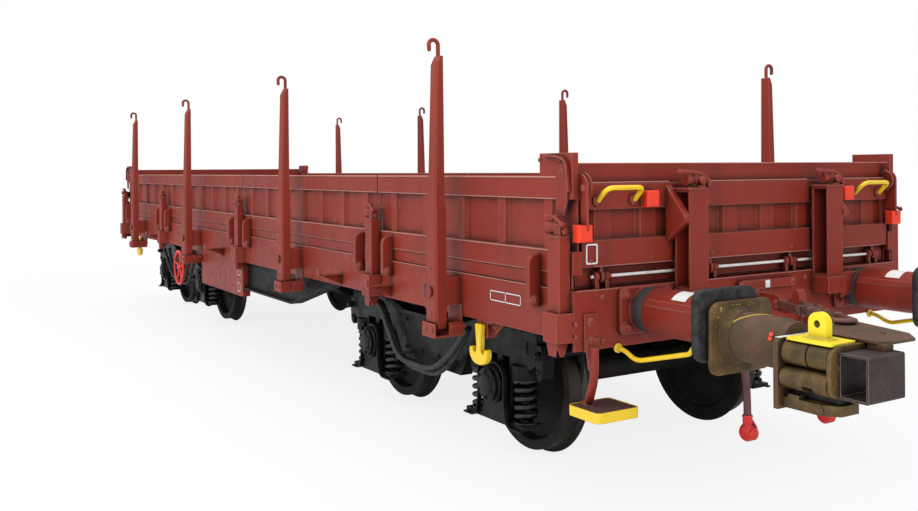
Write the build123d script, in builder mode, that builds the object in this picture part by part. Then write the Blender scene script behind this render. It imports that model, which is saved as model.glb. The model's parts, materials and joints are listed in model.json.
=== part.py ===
"""Bogie flat wagon with drop sides, swivelling stakes and a coupling adapter at one end.

Frame: X runs along the wagon, the end with the adapter at +X; Y is across; Z is up, from the
lowest points of the wheel flanges. The origin is under the middle of the whole outline. Millimetres.
"""
from build123d import *
import math
import os

os.makedirs("parts", exist_ok=True)

# ---------------------------------------------------------------- driving sizes
RAIL = 28.0                  # rail head above the flanges' lowest points
HALF_L = 5400.0              # wagon's middle to the headstock's face
HALF_W = 1350.0              # centre line to the sole bar's outer face
BUFFER_L = 620.0             # headstock's face to the buffer head's face
ADAPTER_L = 1450.0           # headstock's face to the adapter's front
XM = -(ADAPTER_L - BUFFER_L) / 2   # wagon's middle in this frame

SOLE_LOW = RAIL + 922        # sole bar's lower face
SOLE_TOP = RAIL + 1185
SOLE_WEB = 12.0
SOLE_FLANGE_W = 80.0
SOLE_FLANGE_T = 14.0
HEAD_LOW = RAIL + 873        # headstock
HEAD_TOP = SOLE_TOP
HEAD_WEB = 14.0
HEAD_FLANGE_W = 90.0
FLOOR_T = 75.0
FLOOR_TOP = SOLE_TOP + FLOOR_T
FLOOR_INSET = 15.0           # floor's edge behind the sole bar's face
FLOOR_HALF_L = HALF_L - 90

BUFFER_Y = 875.0
BUFFER_Z = RAIL + 1060
PIVOT_U = HALF_L - 2100      # bogie pivot from the wagon's middle
WHEELBASE = 1800.0
WHEEL_R = 460.0
AXLE_Z = RAIL + WHEEL_R
TREAD_Y = 750.0              # middle of the tread
JOURNAL_Y = 1000.0
JOURNAL_R = 65.0
RUNNING_FIT = 0.1            # radial clearance of a journal in its box

END_POST_INSET = 80.0
MID_POST_U = 3070.0
POST_US = (-(HALF_L - END_POST_INSET), -MID_POST_U, 0.0, MID_POST_U, HALF_L - END_POST_INSET)
BOARD_GAP = 8.0              # from a post's middle to the board's end
BOARD_OUT = HALF_W - 5       # boards' outer face
BOARD_T = 60.0
BOARD_LOW = FLOOR_TOP + 8
LOWER_RAIL_H = 120.0
TOP_RAIL_H = 118.0
BOARD_H = 512.0
SHEET_T = 5.0
RIB_PITCH = 390.0
RIB_W = 70.0
RIB_OUT = 24.0

POST_W = 100.0
POST_D = 70.0
POST_FACE = HALF_W + POST_D
POST_TOP = RAIL + 1463
POCKET_W = 156.0
POCKET_OUT = HALF_W + 97
POCKET_TOP = RAIL + 1075
POCKET_WALL = 8.0
POCKET_SLANT = 20.0
CLEAR = 5.0                  # between a moving piece and its neighbour

STAKE_US = (-4195.0, -1535.0, 1535.0, 4195.0)
STAKE_IN = POCKET_OUT + CLEAR
STAKE_D = 80.0
STAKE_W = 130.0
STAKE_UPPER_W = 95.0
STAKE_TOP_W = 76.0
STAKE_TOP_D = 50.0
STAKE_PIVOT_Z = RAIL + 1075
STAKE_FOOT_Z = RAIL + 850
STAKE_STEP_Z = RAIL + 1634
STAKE_TOP_Z = RAIL + 2520
STAKE_PIN_R = 20.0
HOOK_BAR_R = 10.0
REST_FROM_STAKE = 900.0

BOGIE_SIDE_Y = JOURNAL_Y
BOGIE_SIDE_T = 90.0
BOGIE_TOP = RAIL + 800       # bolster's upper face


# ---------------------------------------------------------------- helpers
def block(x0, x1, y0, y1, z0, z1, mode=Mode.ADD):
    """A box between two corners, in the part that is being built."""
    size = (abs(x1 - x0), abs(y1 - y0), abs(z1 - z0))
    with Locations(((x0 + x1) / 2, (y0 + y1) / 2, (z0 + z1) / 2)):
        Box(*size, mode=mode)


def rod(start, end, radius, mode=Mode.ADD):
    """A round bar from one point to another, in the part that is being built."""
    axis = Vector(*end) - Vector(*start)
    with BuildSketch(Plane(origin=start, z_dir=axis.normalized())) as disc:
        Circle(radius)
    extrude(disc.sketch, amount=axis.length, mode=mode)


def bar(start, end, radius, flats=10):
    """A small round bar drawn with flats, to keep its face count low."""
    axis = Vector(*end) - Vector(*start)
    with BuildSketch(Plane(origin=start, z_dir=axis.normalized())) as outline:
        RegularPolygon(radius, flats)
    extrude(outline.sketch, amount=axis.length)


def prism(plane, points, length, mode=Mode.ADD):
    """A straight-sided outline on a plane, extruded along the plane's normal."""
    with BuildSketch(plane) as outline:
        with BuildLine():
            Polyline(*points, close=True)
        make_face()
    extrude(outline.sketch, amount=length, mode=mode)


def across(x):
    """Plane whose local x is world Y and local y is world Z, at this x."""
    return Plane(origin=(x, 0, 0), x_dir=(0, 1, 0), z_dir=(1, 0, 0))


def along(y):
    """Plane whose local x is world X and local y is world Z, facing -Y, at this y."""
    return Plane(origin=(0, y, 0), x_dir=(1, 0, 0), z_dir=(0, -1, 0))


def level(z):
    """Horizontal plane at this height."""
    return Plane.XY.offset(z)


def save(piece, name):
    """Label a finished piece and write its STEP file."""
    piece.label = name
    export_step(piece, f"parts/{name}.step")


# ---------------------------------------------------------------- underframe
with BuildPart() as sole_bars:
    bar_start = XM - HALF_L + HEAD_WEB
    bar_length = 2 * (HALF_L - HEAD_WEB)
    for side in (-1, 1):
        out = side * HALF_W
        web = side * (HALF_W - SOLE_WEB)
        tip = side * (HALF_W - SOLE_FLANGE_W)
        prism(across(bar_start), [
            (out, SOLE_LOW), (out, SOLE_TOP), (tip, SOLE_TOP), (tip, SOLE_TOP - SOLE_FLANGE_T),
            (web, SOLE_TOP - SOLE_FLANGE_T), (web, SOLE_LOW + SOLE_FLANGE_T),
            (tip, SOLE_LOW + SOLE_FLANGE_T), (tip, SOLE_LOW)], bar_length)
save(sole_bars.part, "sole_bars")

HEAD_IN_W = HALF_W - SOLE_FLANGE_W - 2
with BuildPart() as headstocks:
    for end in (-1, 1):
        face = XM + end * HALF_L
        web = face - end * HEAD_WEB
        tip = face - end * HEAD_FLANGE_W
        block(web, face, -HALF_W, HALF_W, HEAD_LOW, HEAD_TOP)
        for z0, z1 in ((HEAD_LOW, HEAD_LOW + HEAD_WEB), (HEAD_TOP - HEAD_WEB, HEAD_TOP)):
            block(tip, web, -HEAD_IN_W, HEAD_IN_W, z0, z1)
        for side in (-1, 1):
            block(tip, web, side * (HEAD_IN_W - HEAD_WEB), side * HEAD_IN_W, HEAD_LOW, HEAD_TOP)
save(headstocks.part, "headstocks")

SILL_Y = 215.0
SILL_FLANGE_W = 90.0
SILL_LOW = HEAD_LOW + 57
SILL_WALL = 12.0
with BuildPart() as centre_sills:
    sill_end = HALF_L - HEAD_FLANGE_W - 1
    for side in (-1, 1):
        web_in = side * SILL_Y
        web_out = side * (SILL_Y + SILL_WALL)
        tip = side * (SILL_Y + SILL_FLANGE_W)
        prism(across(XM - sill_end), [
            (web_in, SILL_LOW), (web_in, SOLE_TOP), (tip, SOLE_TOP), (tip, SOLE_TOP - SOLE_FLANGE_T),
            (web_out, SOLE_TOP - SOLE_FLANGE_T), (web_out, SILL_LOW + SOLE_FLANGE_T),
            (tip, SILL_LOW + SOLE_FLANGE_T), (tip, SILL_LOW)], 2 * sill_end)
save(centre_sills.part, "centre_sills")

BELLY_LOW = RAIL + 650
BELLY_FLAT_U = 1300.0
BELLY_END_U = 2300.0
BELLY_Y = HALF_W - 60
BELLY_WEB = 10.0
BELLY_FLANGE_HALF = 55.0
BELLY_FLANGE_T = 16.0
with BuildPart() as belly_girders:
    belly = [(XM - BELLY_END_U, SOLE_LOW), (XM + BELLY_END_U, SOLE_LOW),
             (XM + BELLY_FLAT_U, BELLY_LOW), (XM - BELLY_FLAT_U, BELLY_LOW)]
    inner = [(XM - BELLY_END_U + 60, SOLE_LOW), (XM + BELLY_END_U - 60, SOLE_LOW),
             (XM + BELLY_FLAT_U - 4, BELLY_LOW + BELLY_FLANGE_T),
             (XM - BELLY_FLAT_U + 4, BELLY_LOW + BELLY_FLANGE_T)]
    for side in (-1, 1):
        middle = side * BELLY_Y
        prism(along(middle + BELLY_FLANGE_HALF), belly, 2 * BELLY_FLANGE_HALF)
        for cut_side in (-1, 1):
            start = middle + cut_side * BELLY_WEB / 2
            end_face = middle + cut_side * (BELLY_FLANGE_HALF + 1)
            prism(along(max(start, end_face)), inner, abs(end_face - start), mode=Mode.SUBTRACT)
save(belly_girders.part, "belly_girders")

BEARER_LOW = SILL_LOW + SOLE_FLANGE_T
BEARER_TOP = SOLE_TOP - SOLE_FLANGE_T
BEARER_US = (-4700.0, -1900.0, -800.0, 800.0, 1900.0, 4700.0)
BEARER_W = 90.0
BOLSTER_W = 420.0
BEARER_WALL = 10.0
PIVOT_R = 150.0
PIVOT_FACE = SILL_LOW - 60   # underside of the body's pivot plate
PIVOT_PIN_R = 50.0
PIVOT_PIN_L = 70.0
PIVOT_GAP = 6.0
with BuildPart() as cross_bearers:
    for side in (-1, 1):
        near = side * (SILL_Y + SILL_WALL)
        far = side * (HALF_W - SOLE_WEB)
        for u in BEARER_US:
            x = XM + u
            block(x - BEARER_WALL / 2, x + BEARER_WALL / 2, near, far, BEARER_LOW, BEARER_TOP)
            for z0, z1 in ((BEARER_LOW, BEARER_LOW + BEARER_WALL), (BEARER_TOP - BEARER_WALL, BEARER_TOP)):
                block(x - BEARER_W / 2, x + BEARER_W / 2, near, far, z0, z1)
        for end in (-1, 1):
            x = XM + end * PIVOT_U
            block(x - BOLSTER_W / 2, x + BOLSTER_W / 2, near, far, BEARER_LOW, BEARER_TOP)
    for end in (-1, 1):
        x = XM + end * PIVOT_U
        block(x - BOLSTER_W / 2, x + BOLSTER_W / 2, -SILL_Y, SILL_Y, SILL_LOW, SILL_LOW + 40)
        rod((x, 0, SILL_LOW), (x, 0, PIVOT_FACE), PIVOT_R)
        rod((x, 0, PIVOT_FACE), (x, 0, PIVOT_FACE - PIVOT_PIN_L), PIVOT_PIN_R - RUNNING_FIT)
save(cross_bearers.part, "cross_bearers")

with BuildPart() as floor:
    block(XM - FLOOR_HALF_L, XM + FLOOR_HALF_L, -HALF_W + FLOOR_INSET, HALF_W - FLOOR_INSET,
          SOLE_TOP, FLOOR_TOP)
save(floor.part, "floor")


# ---------------------------------------------------------------- drop sides
BOARD_TOP = BOARD_LOW + BOARD_H
SHEET_LOW = BOARD_LOW + LOWER_RAIL_H
SHEET_TOP = BOARD_TOP - TOP_RAIL_H
SHEET_FACE = BOARD_OUT - 34      # outer face of the sheet's flats


def corrugated(start, length, face, thickness, out, pitch, rib):
    """Outline of a sheet with flat-topped ribs: it runs from start and its ribs stand out of face."""
    count = max(int(length / pitch), 1)
    slope = abs(out) * 0.8
    step = length / count
    outer = [(start, face)]
    for n in range(count):
        middle = start + (n + 0.5) * step
        outer += [(middle - rib / 2 - slope, face), (middle - rib / 2, face + out),
                  (middle + rib / 2, face + out), (middle + rib / 2 + slope, face)]
    outer.append((start + length, face))
    back = [(x, y - math.copysign(thickness, out)) for x, y in reversed(outer)]
    return outer + back


CORNER_L = 290.0
CORNER_TOP = RAIL + 1905
CORNER_T = 40.0


def side_boards(side):
    """The four boards of one side, each with two box rails and a ribbed sheet between them."""
    for end in (-1, 1):
        x_end = XM + end * (HALF_L - 12)
        block(x_end - end * CORNER_L, x_end, side * (BOARD_OUT - CORNER_T), side * BOARD_OUT,
              BOARD_TOP, CORNER_TOP)
    out = side * BOARD_OUT
    inner = side * (BOARD_OUT - BOARD_T)
    for u0, u1 in zip(POST_US[:-1], POST_US[1:]):
        first = u0 == POST_US[0]
        last = u1 == POST_US[-1]
        x0 = XM + (u0 - END_POST_INSET + 12 if first else u0 + BOARD_GAP)
        x1 = XM + (u1 + END_POST_INSET - 12 if last else u1 - BOARD_GAP)
        block(x0, x1, inner, out, BOARD_LOW, SHEET_LOW)
        block(x0, x1, inner, out, SHEET_TOP, BOARD_TOP)
        sheet = corrugated(x0, x1 - x0, side * SHEET_FACE, SHEET_T, side * RIB_OUT, RIB_PITCH, RIB_W)
        prism(level(SHEET_LOW), sheet, SHEET_TOP - SHEET_LOW)


with BuildPart() as side_boards_right:
    side_boards(-1)
save(side_boards_right.part, "side_boards_right")

with BuildPart() as side_boards_left:
    side_boards(1)
save(side_boards_left.part, "side_boards_left")

POCKET_LOW = SOLE_LOW
with BuildPart() as post_pockets:
    for u in POST_US:
        for side in (-1, 1):
            x = XM + u
            half = POCKET_W / 2
            prism(level(POCKET_LOW), [
                (x - half, side * HALF_W), (x - half + POCKET_SLANT, side * POCKET_OUT),
                (x + half - POCKET_SLANT, side * POCKET_OUT), (x + half, side * HALF_W)],
                POCKET_TOP - POCKET_LOW)
            block(x - POST_W / 2 - 1, x + POST_W / 2 + 1, side * HALF_W, side * (POST_FACE + 1),
                  POCKET_LOW + POCKET_WALL, POCKET_TOP, mode=Mode.SUBTRACT)
save(post_pockets.part, "post_pockets")

with BuildPart() as side_posts:
    for u in POST_US:
        for side in (-1, 1):
            x = XM + u
            block(x - POST_W / 2, x + POST_W / 2, side * HALF_W, side * POST_FACE,
                  POCKET_LOW + POCKET_WALL, POST_TOP)
save(side_posts.part, "side_posts")

FIN_FROM_POST = 230.0
FIN_T = 34.0
FIN_TOP = RAIL + 1360
FIN_PIN_Z = RAIL + 1115
FIN_OUT = HALF_W + 76
FIN_PIN_Y = HALF_W + 40
FIN_R = 36.0
with BuildPart() as side_hinges:
    for u in POST_US:
        for hand in (-1, 1):
            fin_u = u + hand * FIN_FROM_POST
            if abs(fin_u) > HALF_L - END_POST_INSET:
                continue
            for side in (-1, 1):
                x0 = XM + fin_u - FIN_T / 2
                with BuildSketch(across(x0)):
                    with BuildLine():
                        Polyline((side * (HALF_W), FIN_PIN_Z), (side * (HALF_W), RAIL + 1262),
                                 (side * BOARD_OUT, RAIL + 1275), (side * BOARD_OUT, FIN_TOP),
                                 (side * (FIN_OUT - 50), FIN_TOP), (side * (FIN_OUT - 18), FIN_TOP - 18),
                                 (side * FIN_OUT, FIN_TOP - 50), (side * FIN_OUT, FIN_PIN_Z), close=True)
                    make_face()
                    with Locations((side * FIN_PIN_Y, FIN_PIN_Z)):
                        RegularPolygon(FIN_R, 12)
                extrude(amount=FIN_T)
                bar((x0 - 14, side * FIN_PIN_Y, FIN_PIN_Z), (x0 + FIN_T + 14, side * FIN_PIN_Y, FIN_PIN_Z), 22)
save(side_hinges.part, "side_hinges")

LATCH_TOP = RAIL + 1570
with BuildPart() as side_latches:
    for u in POST_US:
        for side in (-1, 1):
            x = XM + u
            y = side * (HALF_W + POST_D / 2)
            z = (POST_TOP + LATCH_TOP) / 2
            block(x - POST_W / 2, x + POST_W / 2, side * HALF_W, side * POST_FACE, POST_TOP, POST_TOP + 20)
            bar((x - 95, y, z), (x + 62, y, z), 34)
            bar((x - 125, y, z), (x - 95, y, z), 18)
            block(x - 40, x + 40, side * HALF_W, side * (POST_FACE + 12), POST_TOP + 20, LATCH_TOP - 10)
save(side_latches.part, "side_latches")


# ---------------------------------------------------------------- ends
END_OUT = HALF_L - 20        # end board's rail faces
END_T = 70.0
END_LOW = RAIL + 1302
END_TOP = RAIL + 1850
END_HALF = BOARD_OUT - BOARD_T - 8
END_RECESS = 42.0
END_RAIL_LOW_TOP = RAIL + 1443
END_RAIL_HIGH = (RAIL + 1605, RAIL + 1740)
END_RIB_PITCH = 300.0
with BuildPart() as end_boards:
    for end in (-1, 1):
        face = XM + end * END_OUT
        back = face - end * END_T
        block(back, face, -END_HALF, END_HALF, END_LOW, END_RAIL_LOW_TOP)
        block(back, face, -END_HALF, END_HALF, *END_RAIL_HIGH)
        block(back, face - end * END_RECESS, -END_HALF, END_HALF, END_RAIL_HIGH[1], END_TOP)
        outline = corrugated(-END_HALF, 2 * END_HALF, XM + end * (END_OUT - 52), SHEET_T,
                             end * RIB_OUT, END_RIB_PITCH, 110)
        prism(level(END_RAIL_LOW_TOP), [(px, py) for py, px in outline],
              END_RAIL_HIGH[0] - END_RAIL_LOW_TOP)
save(end_boards.part, "end_boards")

END_POST_Y = 575.0
END_POST_W = 140.0
END_POST_FACE = HALF_L + 120
END_POST_TOP = RAIL + 1700
END_POST_LOW = RAIL + 1150
END_POST_WALL = 12.0
with BuildPart() as end_posts:
    for end in (-1, 1):
        for side in (-1, 1):
            y = side * END_POST_Y
            x0 = XM + end * HALF_L
            x1 = XM + end * END_POST_FACE
            half = END_POST_W / 2 + 12
            block(x0, x1, y - END_POST_W / 2, y + END_POST_W / 2, END_POST_LOW, END_POST_TOP)
            block(x0 + end * END_POST_WALL, x1 - end * END_POST_WALL, y - END_POST_W / 2 - 1,
                  y + END_POST_W / 2 - END_POST_WALL, END_POST_LOW + END_POST_WALL,
                  END_POST_TOP - END_POST_WALL, mode=Mode.SUBTRACT)
            block(x0, x1 + end * 12, y - half, y + half, END_POST_LOW - 100, END_POST_LOW)
            block(x0, x1 + end * 4, y - half + 8, y + half - 8, END_POST_LOW - 92, END_POST_LOW - 8,
                  mode=Mode.SUBTRACT)
save(end_posts.part, "end_posts")

GUSSET_OUT = 150.0           # beside each end post, standing out of the end board
GUSSET_T = 34.0
with BuildPart() as end_latches:
    for end in (-1, 1):
        for side in (-1, 1):
            y = side * END_POST_Y
            x0 = XM + end * HALF_L
            x1 = XM + end * END_POST_FACE
            z = END_POST_TOP
            block(x0, x1, y - END_POST_W / 2, y + END_POST_W / 2, z, z + 14)
            bar((x0 + end * 55, y - 80, z + 48), (x0 + end * 55, y + 80, z + 48), 30)
            block(x0 + end * 40, x0 + end * 70, y - 40, y + 40, z + 14, z + 30)
            bar((x0 + end * 55, y + side * 70, z + 95), (x0 + end * 55, y - side * 70, z + 80), 11)
            block(x0 + end * 47, x0 + end * 63, y - 20, y + 20, z + 60, z + 92)
            board = XM + end * END_OUT
            gusset_in = side * (END_POST_Y + END_POST_W / 2 + 2)
            prism(along(max(gusset_in, gusset_in + side * GUSSET_T)), [
                (board, RAIL + 1728), (board + end * GUSSET_OUT, RAIL + 1560),
                (board + end * GUSSET_OUT, RAIL + 1530), (board, RAIL + 1412)], GUSSET_T)
save(end_latches.part, "end_latches")

ROD_Z = RAIL + 1248
ROD_X = HALF_L - 45
KNUCKLE_YS = (-(HALF_W - 210), -340.0, 340.0, HALF_W - 210)
ROD_R = 11.0
KNUCKLE_PITCH = 34.0
with BuildPart() as end_hinges:
    for end in (-1, 1):
        x = XM + end * ROD_X
        bar((x, KNUCKLE_YS[0] - 60, ROD_Z), (x, KNUCKLE_YS[-1] + 60, ROD_Z), ROD_R)
        for y in KNUCKLE_YS:
            for n in (-1, 0, 1):
                middle = y + n * KNUCKLE_PITCH
                bar((x, middle - 12, ROD_Z), (x, middle + 12, ROD_Z), 34 - 4 * abs(n))
                if n:
                    block(x - 24, x + 24, middle - 12, middle + 12, SOLE_TOP, ROD_Z)
                else:
                    block(x - 12, x + 12, middle - 12, middle + 12, ROD_Z, END_LOW)
save(end_hinges.part, "end_hinges")

LAMP = 95.0
with BuildPart() as lamp_blocks:
    for end in (-1, 1):
        face = XM + end * END_OUT
        for side in (-1, 1):
            for y, z, x0 in ((side * 830, RAIL + 1655, face),
                             (side * (HALF_W - 50), RAIL + 1485, XM + end * (HALF_L - 12))):
                block(x0, x0 + end * 60, y - LAMP / 2, y + LAMP / 2, z - LAMP / 2, z + LAMP / 2)
save(lamp_blocks.part, "lamp_blocks")

with BuildPart() as end_handles:
    for end in (-1, 1):
        face = XM + end * END_OUT
        for side in (-1, 1):
            ends = [side * 930, side * 1180]
            z0 = RAIL + 1650
            path_x = face + end * 95
            with BuildLine() as handle_path:
                FilletPolyline((face + end * 18, ends[0], z0), (path_x, ends[0], z0 + 75),
                               (path_x, ends[1], z0 + 75), (face + end * 18, ends[1], z0), radius=30)
            with BuildSketch(Plane(origin=handle_path.line @ 0, z_dir=handle_path.line % 0)):
                RegularPolygon(12, 8)
            sweep(path=handle_path.line)
            for y in ends:
                bar((face, y, z0), (face + end * 20, y, z0), 26)
save(end_handles.part, "end_handles")


# ---------------------------------------------------------------- buffers and draw gear
FLANGE_W = 370.0
FLANGE_H = 250.0
FLANGE_T = 30.0
SLEEVE_R = 125.0
HEAD_W = 420.0
HEAD_H = 352.0
HEAD_T = 50.0
BUFFER_XS = (0.0, FLANGE_T, 115.0, BUFFER_L - HEAD_T, BUFFER_L)

with BuildPart() as buffer_bases:
    for end in (-1, 1):
        for side in (-1, 1):
            x0 = XM + end * HALF_L
            y = side * BUFFER_Y
            block(x0, x0 + end * FLANGE_T, y - FLANGE_W / 2, y + FLANGE_W / 2,
                  BUFFER_Z - FLANGE_H / 2, BUFFER_Z + FLANGE_H / 2)
            rod((x0 + end * FLANGE_T, y, BUFFER_Z), (x0 + end * BUFFER_XS[2], y, BUFFER_Z), SLEEVE_R - 14)
save(buffer_bases.part, "buffer_bases")

with BuildPart() as buffer_sleeves:
    for end in (-1, 1):
        for side in (-1, 1):
            x0 = XM + end * HALF_L
            y = side * BUFFER_Y
            rod((x0 + end * BUFFER_XS[2], y, BUFFER_Z), (x0 + end * BUFFER_XS[3], y, BUFFER_Z), SLEEVE_R)
save(buffer_sleeves.part, "buffer_sleeves")

with BuildPart() as buffer_heads:
    for end in (-1, 1):
        for side in (-1, 1):
            x0 = XM + end * (HALF_L + BUFFER_XS[3])
            y = side * BUFFER_Y
            with BuildSketch(across(x0)):
                with Locations((y, BUFFER_Z)):
                    RectangleRounded(HEAD_W, HEAD_H, 60)
            extrude(amount=end * HEAD_T)
save(buffer_heads.part, "buffer_heads")

HOOK_Z = BUFFER_Z - 10
with BuildPart() as draw_hooks:
    for end in (-1, 1):
        x0 = XM + end * HALF_L
        block(x0, x0 + end * 16, -120, 120, HOOK_Z - 110, HOOK_Z + 110)
        block(x0 + end * 16, x0 + end * 150, -28, 28, HOOK_Z - 45, HOOK_Z + 45)
        prism(along(28), [
            (x0 + end * 150, HOOK_Z - 50), (x0 + end * 300, HOOK_Z - 60), (x0 + end * 345, HOOK_Z - 10),
            (x0 + end * 345, HOOK_Z + 70), (x0 + end * 290, HOOK_Z + 80), (x0 + end * 285, HOOK_Z + 10),
            (x0 + end * 225, HOOK_Z + 5), (x0 + end * 150, HOOK_Z + 45)], 56)
save(draw_hooks.part, "draw_hooks")


HOOK_PIN_X = 215.0           # from the headstock's face to the coupling's pin in the hook
HOOK_HALF_T = 28.0
LINK_Y = 50.0
LINK_DROP = 115.0


def screw_coupling(pin, finish):
    """Links from the hook's pin, two straps, a screw between two nuts, and a shackle at the far end."""
    pin = Vector(*pin)
    start = pin - Vector(0, 0, LINK_DROP)
    line = Vector(*finish) - start
    sideways = Vector(-line.Y, abs(line.X), 0).normalized()
    nut_near = start + line * 0.4
    nut_far = start + line * 0.72
    for hand in (-1, 1):
        offset = sideways * (hand * LINK_Y)
        eye = pin + Vector(0, hand * LINK_Y, 0)
        bar(pin + Vector(0, hand * HOOK_HALF_T, 0), pin + Vector(0, hand * (LINK_Y + 16), 0), 18)
        bar(eye, start + offset, 15)
        bar(start + offset, nut_near + offset, 15)
        bar(nut_far + offset, start + line + offset, 15)
    for nut in (start, nut_near, nut_far, start + line):
        bar(nut - sideways * (LINK_Y + 16), nut + sideways * (LINK_Y + 16), 20)
    bar(nut_near, nut_far, 22)


with BuildPart() as screw_couplings:
    screw_coupling((XM + HALF_L + HOOK_PIN_X, 0, HOOK_Z - 5), (XM + HALF_L + 1000, -440, RAIL + 1095))
    screw_coupling((XM - HALF_L - HOOK_PIN_X, 0, HOOK_Z - 5), (XM - HALF_L - 190, 0, HOOK_Z - 640))
save(screw_couplings.part, "screw_couplings")

HOSE_R = 22.0
HOSE_YS = (-240.0, 430.0)
HOSE_ROUTE = ((95.0, 850.0), (95.0, 790.0), (150.0, 600.0), (150.0, 420.0))   # out from the face, height
HOSE_BEND_R = 200.0
COCK_Z = RAIL + 880
with BuildPart() as brake_hoses:
    for end in (-1, 1):
        for hose_y in HOSE_YS:
            points = [(XM + end * (HALF_L + out), end * hose_y, RAIL + z) for out, z in HOSE_ROUTE]
            with BuildLine() as hose_path:
                FilletPolyline(*points, radius=HOSE_BEND_R)
            with BuildSketch(Plane(origin=hose_path.line @ 0, z_dir=hose_path.line % 0)):
                RegularPolygon(HOSE_R, 10)
            sweep(path=hose_path.line)
save(brake_hoses.part, "brake_hoses")

with BuildPart() as hose_fittings:
    for end in (-1, 1):
        for hose_y in HOSE_YS:
            x0 = XM + end * HALF_L
            y = end * hose_y
            cock_x = x0 + end * HOSE_ROUTE[0][0]
            bar((x0, y, COCK_Z), (cock_x + end * 20, y, COCK_Z), 26)
            bar((cock_x, y, COCK_Z + 45), (cock_x, y, RAIL + HOSE_ROUTE[0][1]), 32)
            x1 = x0 + end * HOSE_ROUTE[-1][0]
            z1 = RAIL + HOSE_ROUTE[-1][1]
            bar((x1, y, z1 - 60), (x1, y, z1), 32)
            bar((x1, y - 30, z1 - 90), (x1, y + 30, z1 - 90), 48, flats=12)
save(hose_fittings.part, "hose_fittings")


# ---------------------------------------------------------------- stakes and their fittings
def fold_hand(u):
    """+1 where the stake folds towards +X, -1 where it folds towards -X."""
    return -1 if u == STAKE_US[-1] else 1


STAKE_OUT = STAKE_IN + STAKE_D
CUP_T = 10.0
CUP_LOW = RAIL + 800
PIN_HEAD_T = 14.0

with BuildPart() as stake_brackets:
    for u in STAKE_US:
        for side in (-1, 1):
            x = XM + u
            hand = fold_hand(u)
            block(x - 60, x + 60, side * HALF_W, side * (STAKE_IN - CLEAR), STAKE_PIVOT_Z - 85,
                  STAKE_PIVOT_Z + 85)
            rod((x, side * (STAKE_IN - CLEAR), STAKE_PIVOT_Z),
                (x, side * (STAKE_OUT + 4), STAKE_PIVOT_Z), STAKE_PIN_R - RUNNING_FIT)
            bar((x, side * (STAKE_OUT + 4), STAKE_PIVOT_Z),
                (x, side * (STAKE_OUT + 4 + PIN_HEAD_T), STAKE_PIVOT_Z), 32)
            block(x - 80, x + 80, side * HALF_W, side * (HALF_W + CUP_T), CUP_LOW, STAKE_PIVOT_Z - 85)
            block(x - 80, x + 80, side * (HALF_W + CUP_T), side * (STAKE_OUT + CLEAR + CUP_T), CUP_LOW,
                  CUP_LOW + CUP_T)
            block(x - 80, x + 80, side * (STAKE_OUT + CLEAR), side * (STAKE_OUT + CLEAR + CUP_T),
                  CUP_LOW, RAIL + 886)
            wall = x + hand * (STAKE_W / 2 + CLEAR)
            block(wall, wall + hand * CUP_T, side * (HALF_W + CUP_T), side * (STAKE_OUT + CLEAR),
                  CUP_LOW, RAIL + 886)
save(stake_brackets.part, "stake_brackets")

REST_TOP = STAKE_PIVOT_Z - STAKE_UPPER_W / 2 - CLEAR
with BuildPart() as stake_rests:
    for u in STAKE_US:
        for side in (-1, 1):
            x = XM + u + fold_hand(u) * REST_FROM_STAKE
            tip = side * (STAKE_OUT + CLEAR + 12)
            block(x - 25, x + 25, side * HALF_W, tip, REST_TOP - 10, REST_TOP)
            block(x - 25, x + 25, side * (STAKE_OUT + CLEAR), tip, REST_TOP, REST_TOP + 40)
            prism(across(x - 5), [(side * HALF_W, REST_TOP - 10), (side * (STAKE_OUT - 10), REST_TOP - 10),
                                  (side * HALF_W, REST_TOP - 90)], 10)
save(stake_rests.part, "stake_rests")


def stake(x, side):
    """A tapered stake with its wide lower part, slanted top and hook, standing at x on one side."""
    y_in = side * STAKE_IN
    lower = [(x - STAKE_W / 2, STAKE_FOOT_Z), (x + STAKE_W / 2, STAKE_FOOT_Z),
             (x + STAKE_W / 2, STAKE_STEP_Z - 40), (x + STAKE_UPPER_W / 2, STAKE_STEP_Z),
             (x + STAKE_TOP_W / 2, STAKE_TOP_Z), (x - STAKE_TOP_W / 2, STAKE_TOP_Z),
             (x - STAKE_UPPER_W / 2, STAKE_STEP_Z), (x - STAKE_W / 2, STAKE_STEP_Z - 40)]
    profile = [(y_in, STAKE_FOOT_Z), (side * STAKE_OUT, STAKE_FOOT_Z), (side * STAKE_OUT, STAKE_STEP_Z),
               (side * (STAKE_IN + STAKE_TOP_D), STAKE_TOP_Z - 60),
               (side * (STAKE_IN + 20), STAKE_TOP_Z), (y_in, STAKE_TOP_Z)]
    prism(across(x - STAKE_W), profile, 2 * STAKE_W)
    prism(along(y_in + (STAKE_D + 10 if side > 0 else 10)), lower, STAKE_D + 20, mode=Mode.INTERSECT)
    rod((x, y_in - side, STAKE_PIVOT_Z), (x, side * (STAKE_OUT + 1), STAKE_PIVOT_Z), STAKE_PIN_R,
        mode=Mode.SUBTRACT)
    with BuildLine() as hook_path:
        FilletPolyline((x, side * (STAKE_IN + 14), STAKE_TOP_Z - 30),
                       (x, side * (STAKE_IN + 14), STAKE_TOP_Z + 100),
                       (x, side * (STAKE_IN + 78), STAKE_TOP_Z + 100),
                       (x, side * (STAKE_IN + 78), STAKE_TOP_Z + 30), radius=31)
    with BuildSketch(Plane(origin=hook_path.line @ 0, z_dir=hook_path.line % 0)) as wire:
        RegularPolygon(HOOK_BAR_R, 8)
    sweep(wire.sketch, path=hook_path.line)


for side_name, side in (("right", -1), ("left", 1)):
    for number, u in enumerate(reversed(STAKE_US), start=1):
        with BuildPart() as stake_part:
            stake(XM + u, side)
        save(stake_part.part, f"stake_{side_name}_{number}")


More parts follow.
